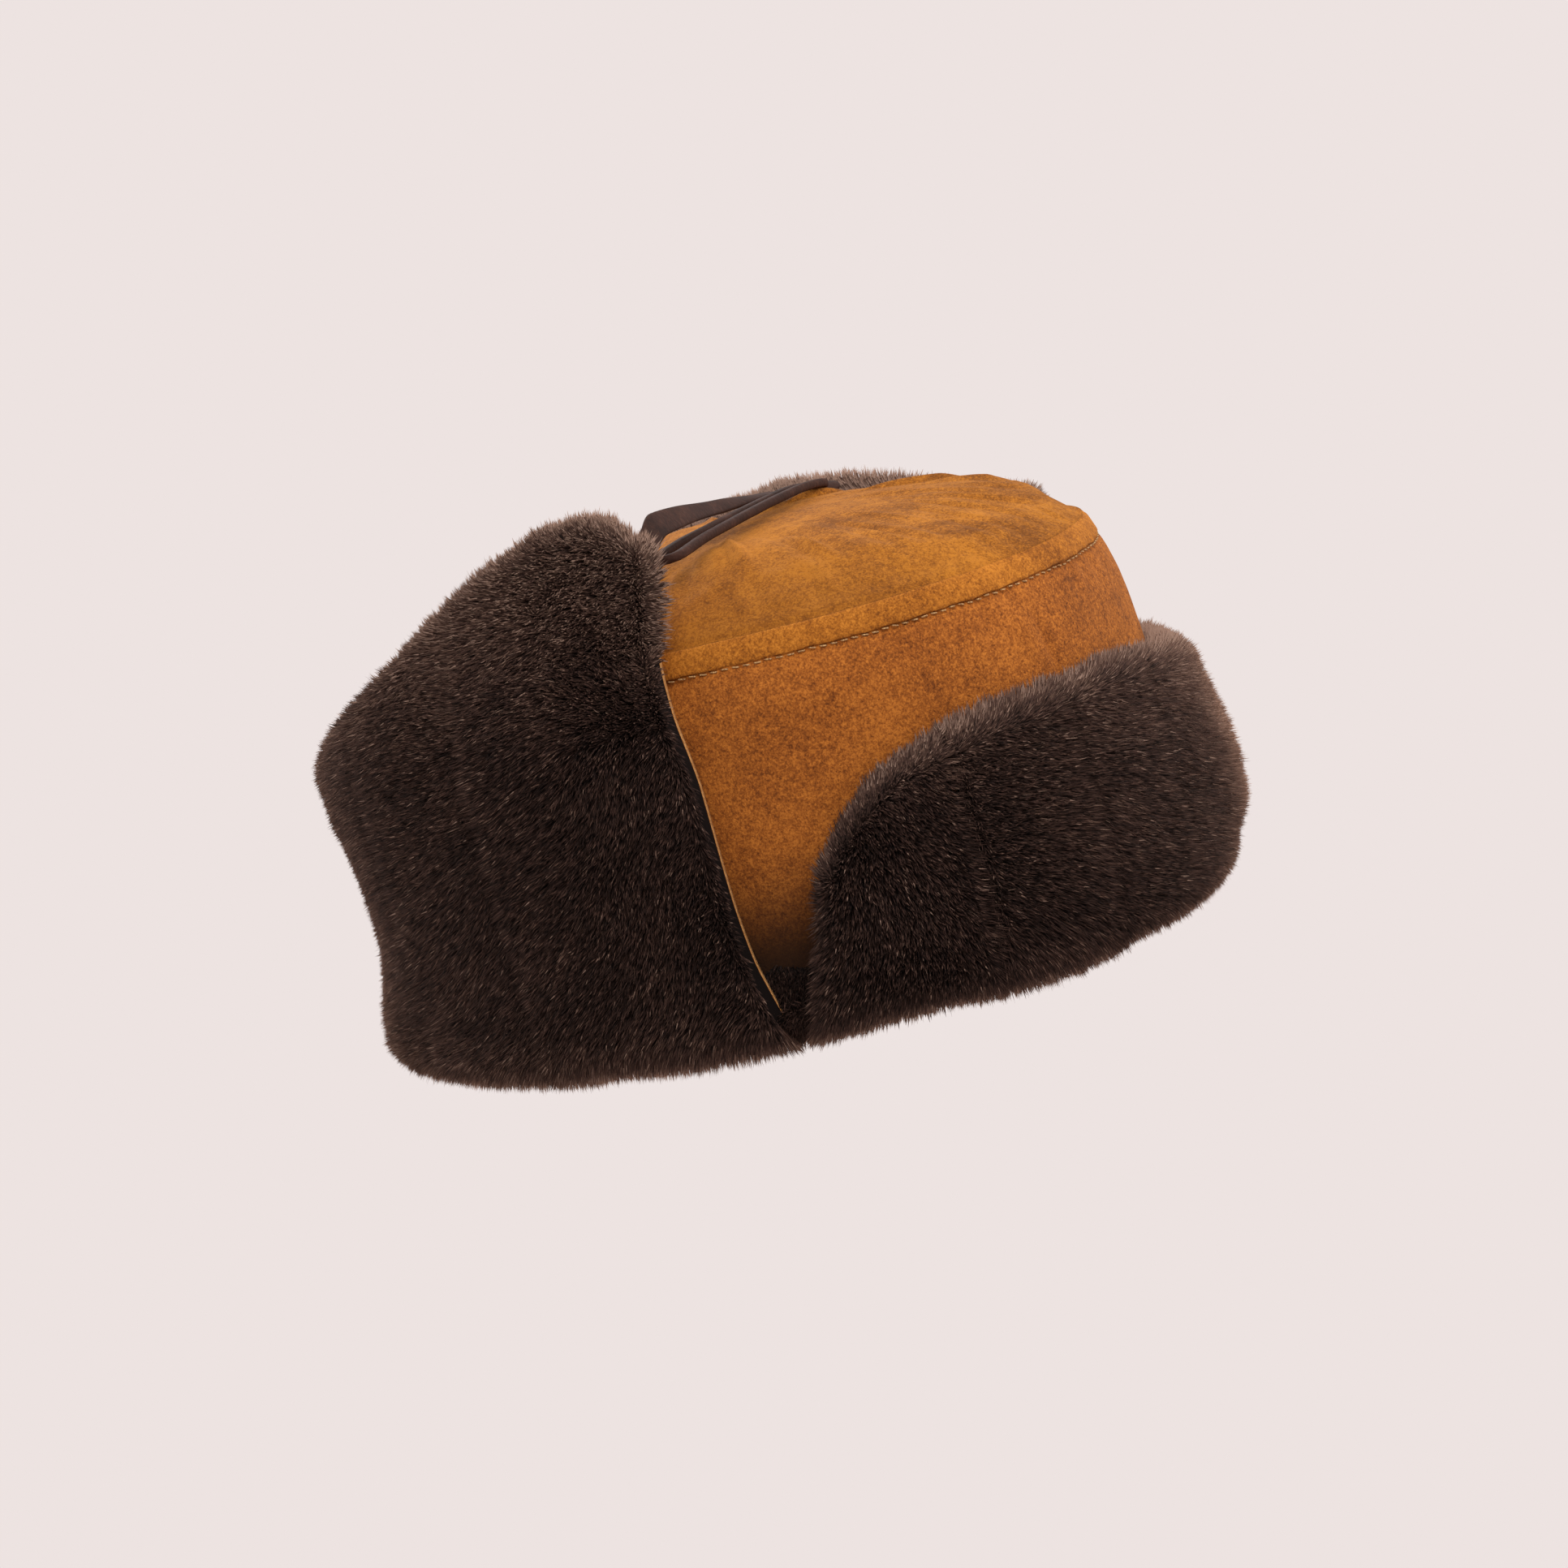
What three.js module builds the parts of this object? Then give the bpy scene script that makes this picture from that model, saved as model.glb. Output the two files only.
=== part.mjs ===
// Trapper hat: suede crown with pile lining, folded-up front flap and folded-up curtain (ear flaps
// and neck flap), all pile side out, with two leather ties over the crown.
// Millimetres, +Z up, -Y front, -X wearer's right. z = 0 is the flat rim the hat stands on.
// Every horizontal section is a superellipse given by its half width. Angles run round it in
// degrees: 0 front, 90 wearer's right, 180 back, 270 wearer's left.
import * as THREE from 'three';

// ---- shared sizes ----
const OVAL_POWER = 2.2;
const EXTRA_LENGTH = 19; // half length less half width of every section
const GAP = 0.3; // air between neighbouring pieces
const SKIN = 2; // suede thickness

// ---- materials ----
const leather = (name, color) => new THREE.MeshStandardMaterial({ name, color });
const suede = leather('suede', 0xb8712f);
const pile = leather('pile', 0x2e2320);
const thong = leather('tie_leather', 0x4b3129);
const thread = leather('thread', 0x8a5a2c);

// ---- curves ----
const rad = (degrees) => degrees * Math.PI / 180;

// Reads a table of [x, y] rows by monotone cubic, held level beyond its ends.
function table(rows, x) {
  if (x <= rows[0][0]) return rows[0][1];
  const next = rows.findIndex((row) => x <= row[0]);
  if (next < 0) return rows[rows.length - 1][1];
  const slope = (i) => (rows[i][1] - rows[i - 1][1]) / (rows[i][0] - rows[i - 1][0]);
  const blend = (a, b) => (a * b <= 0 ? 0 : 2 * a * b / (a + b));
  const [x0, y0] = rows[next - 1];
  const [x1, y1] = rows[next];
  const here = slope(next);
  const slope0 = blend(next > 1 ? slope(next - 1) : here, here);
  const slope1 = blend(here, next < rows.length - 1 ? slope(next + 1) : here);
  const width = x1 - x0;
  const part = (x - x0) / width;
  const rest = 1 - part;
  return y0 * rest * rest * (1 + 2 * part) + y1 * part * part * (3 - 2 * part)
    + width * part * rest * (slope0 * rest - slope1 * part);
}

function smooth(from, to, x) {
  const part = Math.min(1, Math.max(0, (x - from) / (to - from)));
  return part * part * (3 - 2 * part);
}

function oval(angle, halfWidth, z, extra = EXTRA_LENGTH) {
  const sin = Math.sin(rad(angle));
  const cos = Math.cos(rad(angle));
  const scale = (Math.abs(sin) ** OVAL_POWER + Math.abs(cos) ** OVAL_POWER) ** (-1 / OVAL_POWER);
  return new THREE.Vector3(-halfWidth * sin * scale, -(halfWidth + extra) * cos * scale, z);
}

// Outward horizontal direction, taken on the fold line of the flaps
const FOLD_HALF_WIDTH = 100;
function outward(angle) {
  const ahead = oval(angle + 0.05, FOLD_HALF_WIDTH, 0);
  const step = ahead.sub(oval(angle - 0.05, FOLD_HALF_WIDTH, 0));
  return new THREE.Vector3(-step.y, step.x, 0).normalize();
}

// ---- mesh building ----
const group = new THREE.Group();

function addMesh(name, material, points, faces) {
  // a negative volume means the faces look inward, so they are turned over
  let volume = 0;
  for (const [a, b, c] of faces) {
    volume += points[a].dot(new THREE.Vector3().crossVectors(points[b], points[c]));
  }
  const geometry = new THREE.BufferGeometry();
  const coordinates = points.flatMap((point) => point.toArray());
  geometry.setAttribute('position', new THREE.Float32BufferAttribute(coordinates, 3));
  geometry.setIndex(faces.flatMap(([a, b, c]) => (volume < 0 ? [a, c, b] : [a, b, c])));
  geometry.computeVertexNormals();
  const mesh = new THREE.Mesh(geometry, material);
  mesh.name = name;
  group.add(mesh);
}

const quad = (a, b, c, d) => [[a, b, c], [a, c, d]];

// Solid sheet between two grids of points [column][row]; ringed columns wrap round.
function addSheet(name, material, innerGrid, outerGrid, ringed) {
  const columns = innerGrid.length;
  const rows = innerGrid[0].length;
  const inner = (i, j) => (i % columns) * rows + j;
  const outer = (i, j) => columns * rows + inner(i, j);
  const top = rows - 1;
  const last = columns - 1;
  const faces = [];
  for (let i = 0; i < (ringed ? columns : last); i++) {
    for (let j = 0; j < top; j++) {
      faces.push(
        ...quad(outer(i, j), outer(i + 1, j), outer(i + 1, j + 1), outer(i, j + 1)),
        ...quad(inner(i, j), inner(i, j + 1), inner(i + 1, j + 1), inner(i + 1, j)),
      );
    }
    faces.push(
      ...quad(inner(i, 0), inner(i + 1, 0), outer(i + 1, 0), outer(i, 0)),
      ...quad(inner(i, top), outer(i, top), outer(i + 1, top), inner(i + 1, top)),
    );
  }
  for (let j = 0; j < top && !ringed; j++) {
    faces.push(
      ...quad(inner(0, j), outer(0, j), outer(0, j + 1), inner(0, j + 1)),
      ...quad(inner(last, j), inner(last, j + 1), outer(last, j + 1), outer(last, j)),
    );
  }
  addMesh(name, material, [...innerGrid.flat(), ...outerGrid.flat()], faces);
}

// Sheet right round the hat; rows: [inner half width, inner z, outer half width, outer z]
function addRing(name, material, segments, rows) {
  const grid = (column) => Array.from({ length: segments }, (_, i) => (
    rows.map((row) => oval(360 * i / segments, row[column], row[column + 1]))
  ));
  addSheet(name, material, grid(0), grid(2), true);
}

// Tube skinned over equal sections of points; closed joins the last to the first.
function addTube(name, material, sections, closed) {
  const count = sections.length;
  const sides = sections[0].length;
  const id = (i, k) => (i % count) * sides + (k % sides);
  const faces = [];
  for (let i = 0; i < (closed ? count : count - 1); i++) {
    for (let k = 0; k < sides; k++) {
      faces.push(...quad(id(i, k), id(i + 1, k), id(i + 1, k + 1), id(i, k + 1)));
    }
  }
  const end = (count - 1) * sides;
  for (let k = 1; k < sides - 1 && !closed; k++) {
    faces.push([0, k, k + 1], [end, end + k + 1, end + k]);
  }
  addMesh(name, material, sections.flat(), faces);
}

// ---- side band ----
const BAND = [ // z, half width outside
  [2.4, 97.0], [20, 98.0], [45, 99.5], [70, 100.1], [88, 99.9],
  [96, 98.6], [101, 97.0], [105, 95.4], [108, 94.2],
];
const HEM = { inner: 88, thickness: 1.4, outerBottom: 96.8, outerTop: 96.9 }; // edge turned in
const LINING = { thickness: 12.4, bottomInset: 1, levels: [1.75, 14, 34, 58, 80, 93] };
const bandHalfWidth = (z) => table(BAND, z);

function addSideBand() {
  const [[wallZ, wallHalfWidth], ...wall] = BAND;
  addRing('side_band', suede, 72, [
    [HEM.inner, 0, HEM.outerBottom, 0],
    [HEM.inner, HEM.thickness, HEM.outerTop, HEM.thickness],
    [wallHalfWidth - SKIN, HEM.thickness, wallHalfWidth, wallZ],
    ...wall.map(([z, halfWidth]) => [halfWidth - SKIN, z, halfWidth, z]),
  ]);
}

function addSideBandLining() {
  addRing('side_band_lining', pile, 64, LINING.levels.map((z, i) => {
    const outer = bandHalfWidth(z) - SKIN - GAP;
    const inner = outer - LINING.thickness + (i === 0 ? LINING.bottomInset : 0);
    return [inner, z, outer, z];
  }));
}

// Seam allowance turned down over the band. Its inner face stops below its outer one and,
// above the band, goes on inward at its own slope.
const SEAM = { bottom: 102.6, top: 109, innerTop: 108.6, thickness: 1.1, gap: 0.25, slope: 0.9 };
const SEAM_ROWS = [[0, 0.7], [0.25, 1], [0.55, 1], [0.8, 1], [1, 0.5]]; // part of height, of thickness

function addSeamAllowance() {
  const [bandTop, topHalfWidth] = BAND[BAND.length - 1];
  addRing('seam_allowance', suede, 72, SEAM_ROWS.map(([height, thickness]) => {
    const outerZ = SEAM.bottom + (SEAM.top - SEAM.bottom) * height;
    const innerZ = Math.min(outerZ, SEAM.innerTop);
    const band = innerZ <= bandTop
      ? bandHalfWidth(innerZ)
      : topHalfWidth - (innerZ - bandTop) * SEAM.slope;
    const inner = band + SEAM.gap;
    return [inner, innerZ, inner + SEAM.thickness * thickness, outerZ];
  }));
}

const STITCH = { z: 101.3, radius: 0.42, gap: 0.2, segments: 96, sides: 6 };

function addTopstitch() {
  const { z, radius, gap, segments, sides } = STITCH;
  const halfWidth = bandHalfWidth(z) + radius + gap;
  const sections = Array.from({ length: segments }, (_, i) => {
    const angle = 360 * i / segments;
    return Array.from({ length: sides }, (__, k) => {
      const turn = 2 * Math.PI * k / sides;
      const point = oval(angle, halfWidth, z + radius * Math.sin(turn));
      return point.addScaledVector(outward(angle), radius * Math.cos(turn));
    });
  });
  addTube('topstitch', thread, sections, true);
}

// ---- crown panel ----
const TOP_HALF_WIDTH = 91.8;
const TOP_HALF_LENGTH = TOP_HALF_WIDTH + EXTRA_LENGTH;
const TOP_Z = 109.3; // panel rim
const DOME = { rise: 21, flatness: 6, shoulder: 1.6, tilt: 8, bow: 16 }; // tilt: front up, back down
const DOME_SEGMENTS = 72;
const DOME_RINGS = [0.12, 0.28, 0.44, 0.58, 0.7, 0.79, 0.87, 0.94]; // part of the way to the rim
const TOP_LINING = { thickness: 9, gap: GAP + 0.1, rim: 0.965 };

function domeZ(x, y) {
  const across = Math.abs(x) / TOP_HALF_WIDTH;
  const along = y / TOP_HALF_LENGTH;
  const sum = across ** OVAL_POWER + Math.abs(along) ** OVAL_POWER;
  const reach = Math.min(1, sum ** (1 / OVAL_POWER));
  return TOP_Z + DOME.rise * (1 - reach ** DOME.flatness) ** DOME.shoulder
    - (DOME.tilt * along + DOME.bow * along * along) * (1 - reach * reach);
}

// Domed sheet: upper face is the crown surface less drop, thickness is measured in z.
function addDome(name, material, drop, thickness, rim) {
  const rings = [...DOME_RINGS, rim];
  const count = DOME_SEGMENTS;
  const apex = (side) => side * (1 + rings.length * count);
  const points = [];
  for (const depth of [drop, drop + thickness]) {
    points.push(new THREE.Vector3(0, 0, domeZ(0, 0) - depth));
    for (const part of rings) {
      for (let i = 0; i < count; i++) {
        const point = oval(360 * i / count, TOP_HALF_WIDTH * part, 0, EXTRA_LENGTH * part);
        points.push(point.setZ(domeZ(point.x, point.y) - depth));
      }
    }
  }
  const upper = (k, i) => 1 + k * count + (i % count);
  const lower = (k, i) => apex(1) + upper(k, i);
  const edge = rings.length - 1;
  const faces = [];
  for (let i = 0; i < count; i++) {
    faces.push([apex(0), upper(0, i), upper(0, i + 1)], [apex(1), lower(0, i + 1), lower(0, i)]);
    for (let k = 0; k < edge; k++) {
      faces.push(
        ...quad(upper(k, i), upper(k + 1, i), upper(k + 1, i + 1), upper(k, i + 1)),
        ...quad(lower(k, i), lower(k, i + 1), lower(k + 1, i + 1), lower(k + 1, i)),
      );
    }
    faces.push(...quad(upper(edge, i), lower(edge, i), lower(edge, i + 1), upper(edge, i + 1)));
  }
  addMesh(name, material, points, faces);
}

// ---- flap strips ----
// Each flap is cut into strips, each one hinged on its own straight stretch of the fold.
// A flap surface gives the point at an angle and a run, the skin length above the fold.
const FLAP_BOTTOM = 1.5;
const PILE = 9.5; // pile pad thickness
const PILE_GAP = 0.25; // between skin and pad
const STRIP_ROWS = [0, 0.02, 0.06, 0.13, 0.25, 0.4, 0.55, 0.7, 0.82, 0.9, 0.96, 1];
const MITRE_CLEARANCE = GAP / 2 + 0.02;
// Rounding of the pad: radius at each edge, and how far outside the pad the rounding starts
const PAD = {
  bottom: { radius: 10, start: 0.3 },
  top: { radius: 9, start: 0.2 },
  free: { radius: 8, start: 0.2 },
  stripWidth: 40, // nominal, for distances from a free edge
  least: 0.12, // smallest part of the thickness
};
const NECK_THIN = [ // run, part of the pile pressed flat at the neck
  [0, 0], [12, 0.05], [40, 0.4], [58, 0.3], [78, 0.05], [96, 0],
];
const neckness = (angle) => smooth(128, 150, angle) * (1 - smooth(210, 232, angle));
const pileAt = (angle, run) => PILE * (1 - neckness(angle) * table(NECK_THIN, run));

// Cut angles that give every strip the same turning of the outward direction
function evenCuts(from, to, count) {
  const steps = 2000;
  const angleAt = (i) => from + (to - from) * i / steps;
  const turned = [0];
  let last = outward(from);
  for (let i = 1; i <= steps; i++) {
    const direction = outward(angleAt(i));
    turned.push(turned[i - 1] + Math.acos(Math.min(1, last.dot(direction))));
    last = direction;
  }
  return Array.from({ length: count + 1 }, (_, k) => {
    const wanted = turned[steps] * k / count;
    let i = 0;
    while (i < steps && turned[i] < wanted) i++;
    return angleAt(i);
  });
}

function flapNormal(surface, angle, run) {
  const across = surface(angle + 0.4, run).sub(surface(angle - 0.4, run));
  const up = surface(angle, run + 1).sub(surface(angle, Math.max(0, run - 1)));
  const normal = across.cross(up).normalize();
  const facing = normal.dot(outward(angle));
  // must look outward, or upward where the flap leans over the crown
  const inward = facing < -0.3 || (normal.z < 0 && Math.abs(facing) < 0.5);
  return inward ? normal.negate() : normal;
}

function edgeRound({ radius, start }, distance) {
  const inside = distance + start;
  return inside >= radius ? 1 : Math.sqrt(Math.max(0, 1 - (1 - inside / radius) ** 2));
}

// Skin and pile pad between two cuts. A null mitre is a free edge. At a mitre each row is pulled
// in, so that the strips still clear each other after the fold has turned them inside out.
function addStrip(name, from, to, mitreFrom, mitreTo, length, surface) {
  const start = oval(from, FOLD_HALF_WIDTH, 0);
  const end = oval(to, FOLD_HALF_WIDTH, 0);
  const along = end.clone().sub(start).normalize();
  const out = new THREE.Vector3(-along.y, along.x, 0);
  const middle = start.clone().add(end).multiplyScalar(0.5);
  const half = start.distanceTo(end) / 2;
  const freeFrom = mitreFrom === null;
  const freeTo = mitreTo === null;
  const steps = freeFrom || freeTo ? 6 : 4;
  const columns = Array.from({ length: steps + 1 }, (_, i) => i / steps);
  if (freeFrom) columns[1] = 0.08;
  if (freeTo) columns[steps - 1] = 0.92;

  // how far a point lies past the mitre plane; side is -1 at from, 1 at to
  const overrun = (point, side, mitre) => {
    if (mitre === null) return 0;
    const offset = point.clone().sub(middle);
    const limit = half - Math.abs(offset.dot(out)) * Math.tan(mitre) - MITRE_CLEARANCE;
    return Math.max(0, side * offset.dot(along) - limit);
  };
  const padThickness = (angle, run, column) => {
    const freeEdge = Math.min(freeFrom ? column : Infinity, freeTo ? 1 - column : Infinity);
    const part = edgeRound(PAD.bottom, run) * edgeRound(PAD.top, length(angle) - run)
      * edgeRound(PAD.free, freeEdge * PAD.stripWidth);
    return pileAt(angle, run) * Math.max(PAD.least, part);
  };

  // layers: skin inside, skin outside, pad inside, pad outside
  const layers = [0, 1, 2, 3].map(() => columns.map(() => []));
  for (const part of STRIP_ROWS) {
    const stacks = columns.map((column) => {
      const angle = from + (to - from) * column;
      const run = part * length(angle);
      const base = surface(angle, run);
      const normal = flapNormal(surface, angle, run);
      const padInside = SKIN + PILE_GAP;
      return [0, SKIN, padInside, padInside + padThickness(angle, run, column)]
        .map((depth) => base.clone().addScaledVector(normal, depth));
    });
    layers.forEach((layer, k) => {
      const pullFrom = overrun(stacks[0][k], -1, mitreFrom);
      const pullTo = overrun(stacks[steps][k], 1, mitreTo);
      columns.forEach((column, i) => {
        const shift = pullFrom * (1 - column) - pullTo * column;
        layer[i].push(stacks[i][k].addScaledVector(along, shift));
      });
    });
  }
  addSheet(`${name}_skin`, suede, layers[0], layers[1], false);
  addSheet(`${name}_pile`, pile, layers[2], layers[3], false);
}

function addFlap(names, from, to, length, surface) {
  const cuts = evenCuts(from, to, names.length);
  const corners = cuts.map((angle) => oval(angle, FOLD_HALF_WIDTH, 0));
  const chords = names.map((_, k) => corners[k + 1].clone().sub(corners[k]).normalize());
  const mitre = (k) => (k === 0 || k === names.length
    ? null
    : Math.acos(Math.min(1, chords[k - 1].dot(chords[k]))) / 2);
  names.forEach((name, k) => {
    addStrip(name, cuts[k], cuts[k + 1], mitre(k), mitre(k + 1), length, surface);
  });
}

// ---- curtain: ear flaps and neck flap ----
const CURTAIN_FROM = 79.5;
const CURTAIN_TO = 280.5;
const CURTAIN_NAMES = [
  'right_ear_front', 'right_ear_middle', 'right_ear_back',
  'neck_right', 'neck_centre', 'neck_left',
  'left_ear_back', 'left_ear_middle', 'left_ear_front',
];
const CURTAIN_TRIM = 2.2; // taken off the tabled lengths
const RIGHT_LENGTH = [ // angle, length above the fold
  [79.5, 131], [81, 138.5], [83, 144], [86, 147.5], [90, 149], [95, 148.5], [102, 143.5],
  [110, 135.5], [117, 127.5], [124, 120], [130, 113], [137, 106], [145, 98.5], [155, 91.5],
  [165, 87], [180, 85],
];
const LEFT_LENGTH = [ // the same; the left ear flap slumps forward and stands lower
  [180, 85], [195, 87], [205, 91.5], [215, 99.5], [223, 107.5], [230, 114], [236, 119.5],
  [243, 124], [250, 126.5], [256, 128], [262, 130], [266, 131.7], [270, 129.7], [273, 122.7],
  [276, 115.7], [279, 110.2], [280.5, 108],
];
// Crown side of the skin: run, half width; up to WALL_TOP both sides share one table
const WALL_TOP = 110;
const WALL_WIDTH = [
  [0, 100.3], [18, 101.0], [40, 101.9], [60, 102.6], [74, 102.8], [88, 102.4], [97, 101.1],
  [104, 99.6], [110, 97.6],
];
const RIGHT_WIDTH = [[110, 97.6], [118, 95.6], [128, 92.6], [137, 89.4], [146, 85.8], [152, 83.2]];
const LEFT_WIDTH = [
  [110, 97.6], [115, 94.8], [121, 89.8], [128, 83.0], [136, 74.8], [146, 64.6],
];
// run, z
const RIGHT_Z = [[0, 1.5], [110, 111.2], [146, 145.6], [152, 151.2]];
const LEFT_Z = [
  [0, 1.5], [104, 105.4], [110, 110.9], [115, 115.0], [121, 118.8], [128, 122.2], [136, 124.6],
  [146, 126.6],
];
const LEAN_ANGLE = 24; // forward lean of the left ear flap's front edge
const LEAN = [ // run, part of that lean
  [0, 0], [45, 0], [70, 0.35], [90, 0.8], [105, 1], [118, 0.9], [130, 0.5], [146, 0.1],
];
const LEAN_WIDTH = [ // run, half width added so the leaning edge clears the crown seam
  [0, 0], [70, 0], [92, 1.3], [112, 1.3], [128, 0.3],
];
const RIGHT_EDGE = [ // run, degrees the right ear flap's front edge runs ahead of the cut
  [0, 2.6], [8, 1.6], [22, 0.2], [40, -0.4], [70, -0.6], [95, -1.9], [110, -2.2], [125, -1.6],
  [146, -0.4],
];
const NECK_FLARE = [ // run, half width added at the neck
  [0, 0.4], [12, 0.1], [35, -0.5], [60, -0.2], [80, 1.0], [96, 1.4],
];

const curtainLength = (angle) => (
  table(angle <= 180 ? RIGHT_LENGTH : LEFT_LENGTH, angle) - CURTAIN_TRIM
);

function curtainSurface(angle, run) {
  const left = smooth(205, 250, angle);
  const mix = (rightRows, leftRows) => (
    table(rightRows, run) * (1 - left) + table(leftRows, run) * left
  );
  const lean = LEAN_ANGLE * smooth(266, CURTAIN_TO, angle) * table(LEAN, run);
  const edge = table(RIGHT_EDGE, run) * (1 - smooth(CURTAIN_FROM, 90, angle));
  const wall = run <= WALL_TOP ? table(WALL_WIDTH, run) : mix(RIGHT_WIDTH, LEFT_WIDTH);
  const halfWidth = wall + neckness(angle) * table(NECK_FLARE, run)
    + smooth(252, 266, angle) * table(LEAN_WIDTH, run);
  return oval(angle + (lean - edge), halfWidth, mix(RIGHT_Z, LEFT_Z));
}

// ---- front flap ----
const FRONT_FROM = -68.5;
const FRONT_TO = 69;
const FRONT_NAMES = [
  'front_left_end', 'front_left_outer', 'front_left_inner', 'front_centre',
  'front_right_inner', 'front_right_outer', 'front_right_end',
];
const FRONT_LENGTH = [ // angle, length above the fold
  [-68.5, 47], [-66, 53.5], [-62, 58.5], [-55, 62], [-40, 64], [-20, 64], [0, 66.5], [10, 68.5],
  [20, 69.5], [40, 69], [50, 66], [56, 62], [60, 57.3], [64, 50], [67, 41.5], [69, 30],
];
const FRONT_WIDTH = [ // run, half width
  [0, 101.0], [10, 101.7], [25, 101.9], [45, 101.6], [60, 101.0], [74, 100.7],
];
const FRONT_ENDS = [[0, 3.5], [8, 2.4], [20, 0.6], [36, -0.8], [60, -1.2]]; // run, degrees run on
const FRONT_RISE = 0.995; // z per length of skin

const frontLength = (angle) => table(FRONT_LENGTH, angle);

function frontSurface(angle, run) {
  const runOn = Math.sign(angle) * smooth(52, 69, Math.abs(angle)) * table(FRONT_ENDS, run);
  return oval(angle + runOn, table(FRONT_WIDTH, run), FLAP_BOTTOM + run * FRONT_RISE);
}

// ---- ties ----
// Centre lines x, y, z; each tie starts at the edge of its ear flap
const RIGHT_TIE = [
  [-86.8, -14.9, 144.6], [-76, -14.6, 143.0], [-62, -13.8, 142.4], [-46, -12.4, 141.4],
  [-28, -9.6, 139.8], [-8, -6.4, 137.9], [14, -4.2, 136.0], [34, -3.2, 134.0],
  [50, -2.6, 132.4], [62, -2.0, 130.2],
];
const LEFT_TIE = [
  [82.4, -12.9, 122.9], [80.0, -12.8, 123.1], [77.4, -12.6, 124.7], [75.6, -12.3, 126.6],
];
const LEFT_LOOP = [
  [61.4, -13.7, 130.8], [58.6, -16.6, 131.6], [52, -17.2, 132.7], [40, -17.3, 133.7],
  [16, -17.4, 134.2], [-8, -17.6, 134.3], [-30, -17.9, 134.2], [-50, -18.2, 134.0],
  [-64, -18.2, 133.2], [-70.4, -17.6, 132.8], [-73.5, -14.6, 132.7], [-70.6, -11.6, 132.9],
  [-64, -11.0, 133.4], [-50, -11.2, 134.1], [-30, -11.4, 134.2], [-8, -11.4, 134.2],
  [16, -11.2, 134.0], [40, -10.8, 133.5], [52, -10.5, 132.6], [58.6, -11.0, 131.6],
];
const TIE_SECTION = [ // parts of width and thickness
  [0.5, 0.12], [0.42, 0.5], [-0.42, 0.5], [-0.5, 0.12], [-0.42, -0.5], [0.42, -0.5],
];
// Degrees the right tie stands up from lying flat, against the part of its length
const rightRoll = (part) => 60 * (1 - 0.75 * smooth(0.5, 0.85, part));

// Strap along a curve; root is its width at the start, roll turns it about the curve.
function addTie(name, stops, options) {
  const { width, thickness, steps, closed = false, root = width, roll = () => 0 } = options;
  const vectors = stops.map((stop) => new THREE.Vector3(...stop));
  const curve = new THREE.CatmullRomCurve3(vectors, closed, 'centripetal');
  const sections = Array.from({ length: closed ? steps : steps + 1 }, (_, i) => {
    const part = i / steps;
    const centre = curve.getPointAt(part);
    const tangent = curve.getTangentAt(part);
    const side = new THREE.Vector3(0, 0, 1).cross(tangent).normalize();
    side.applyAxisAngle(tangent, rad(roll(part)));
    const up = tangent.clone().cross(side).normalize();
    const wide = width + (root - width) * (1 - smooth(0, 0.55, part));
    return TIE_SECTION.map(([across, high]) => (
      centre.clone().addScaledVector(side, across * wide).addScaledVector(up, high * thickness)
    ));
  });
  addTube(name, thong, sections, closed);
}

// Lumpy ellipsoid with its poles along X
const KNOT = { centre: [68.6, -12, 128.7], radii: [5.4, 4.6, 2.3], lump: 0.08 };
const KNOT_AROUND = 16;
const KNOT_BANDS = 9;

function addKnot() {
  const centre = new THREE.Vector3(...KNOT.centre);
  const radii = new THREE.Vector3(...KNOT.radii);
  const place = (x, y, z) => new THREE.Vector3(x, y, z).multiply(radii).add(centre);
  const points = [place(-1, 0, 0)];
  for (let j = 1; j < KNOT_BANDS; j++) {
    for (let i = 0; i < KNOT_AROUND; i++) {
      const polar = Math.PI * j / KNOT_BANDS;
      const turn = 2 * Math.PI * i / KNOT_AROUND;
      const reach = (1 + KNOT.lump * Math.cos(3 * turn + 2 * polar)) * Math.sin(polar);
      points.push(place(-Math.cos(polar), reach * Math.cos(turn), reach * Math.sin(turn)));
    }
  }
  points.push(place(1, 0, 0));
  const end = points.length - 1;
  const last = KNOT_BANDS - 1;
  const id = (j, i) => 1 + (j - 1) * KNOT_AROUND + (i % KNOT_AROUND);
  const faces = [];
  for (let i = 0; i < KNOT_AROUND; i++) {
    faces.push([0, id(1, i + 1), id(1, i)], [end, id(last, i), id(last, i + 1)]);
    for (let j = 1; j < last; j++) {
      faces.push(...quad(id(j, i), id(j, i + 1), id(j + 1, i + 1), id(j + 1, i)));
    }
  }
  addMesh('left_tie_knot', thong, points, faces);
}

// ---- assembly ----
addSideBand();
addSideBandLining();
addSeamAllowance();
addTopstitch();
addDome('crown_panel', suede, 0, SKIN, 1);
const { thickness, gap, rim } = TOP_LINING;
addDome('crown_panel_lining', pile, SKIN + gap, thickness, rim);
addFlap(CURTAIN_NAMES, CURTAIN_FROM, CURTAIN_TO, curtainLength, curtainSurface);
addFlap(FRONT_NAMES, FRONT_FROM, FRONT_TO, frontLength, frontSurface);
addTie('right_tie', RIGHT_TIE, {
  width: 5.2, thickness: 2, steps: 40, root: 8.6, roll: rightRoll,
});
addTie('left_tie', LEFT_TIE, { width: 4.4, thickness: 1.8, steps: 14 });
addTie('left_tie_loop', LEFT_LOOP, { width: 3.4, thickness: 2.8, steps: 96, closed: true });
addKnot();

export default group;
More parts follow.
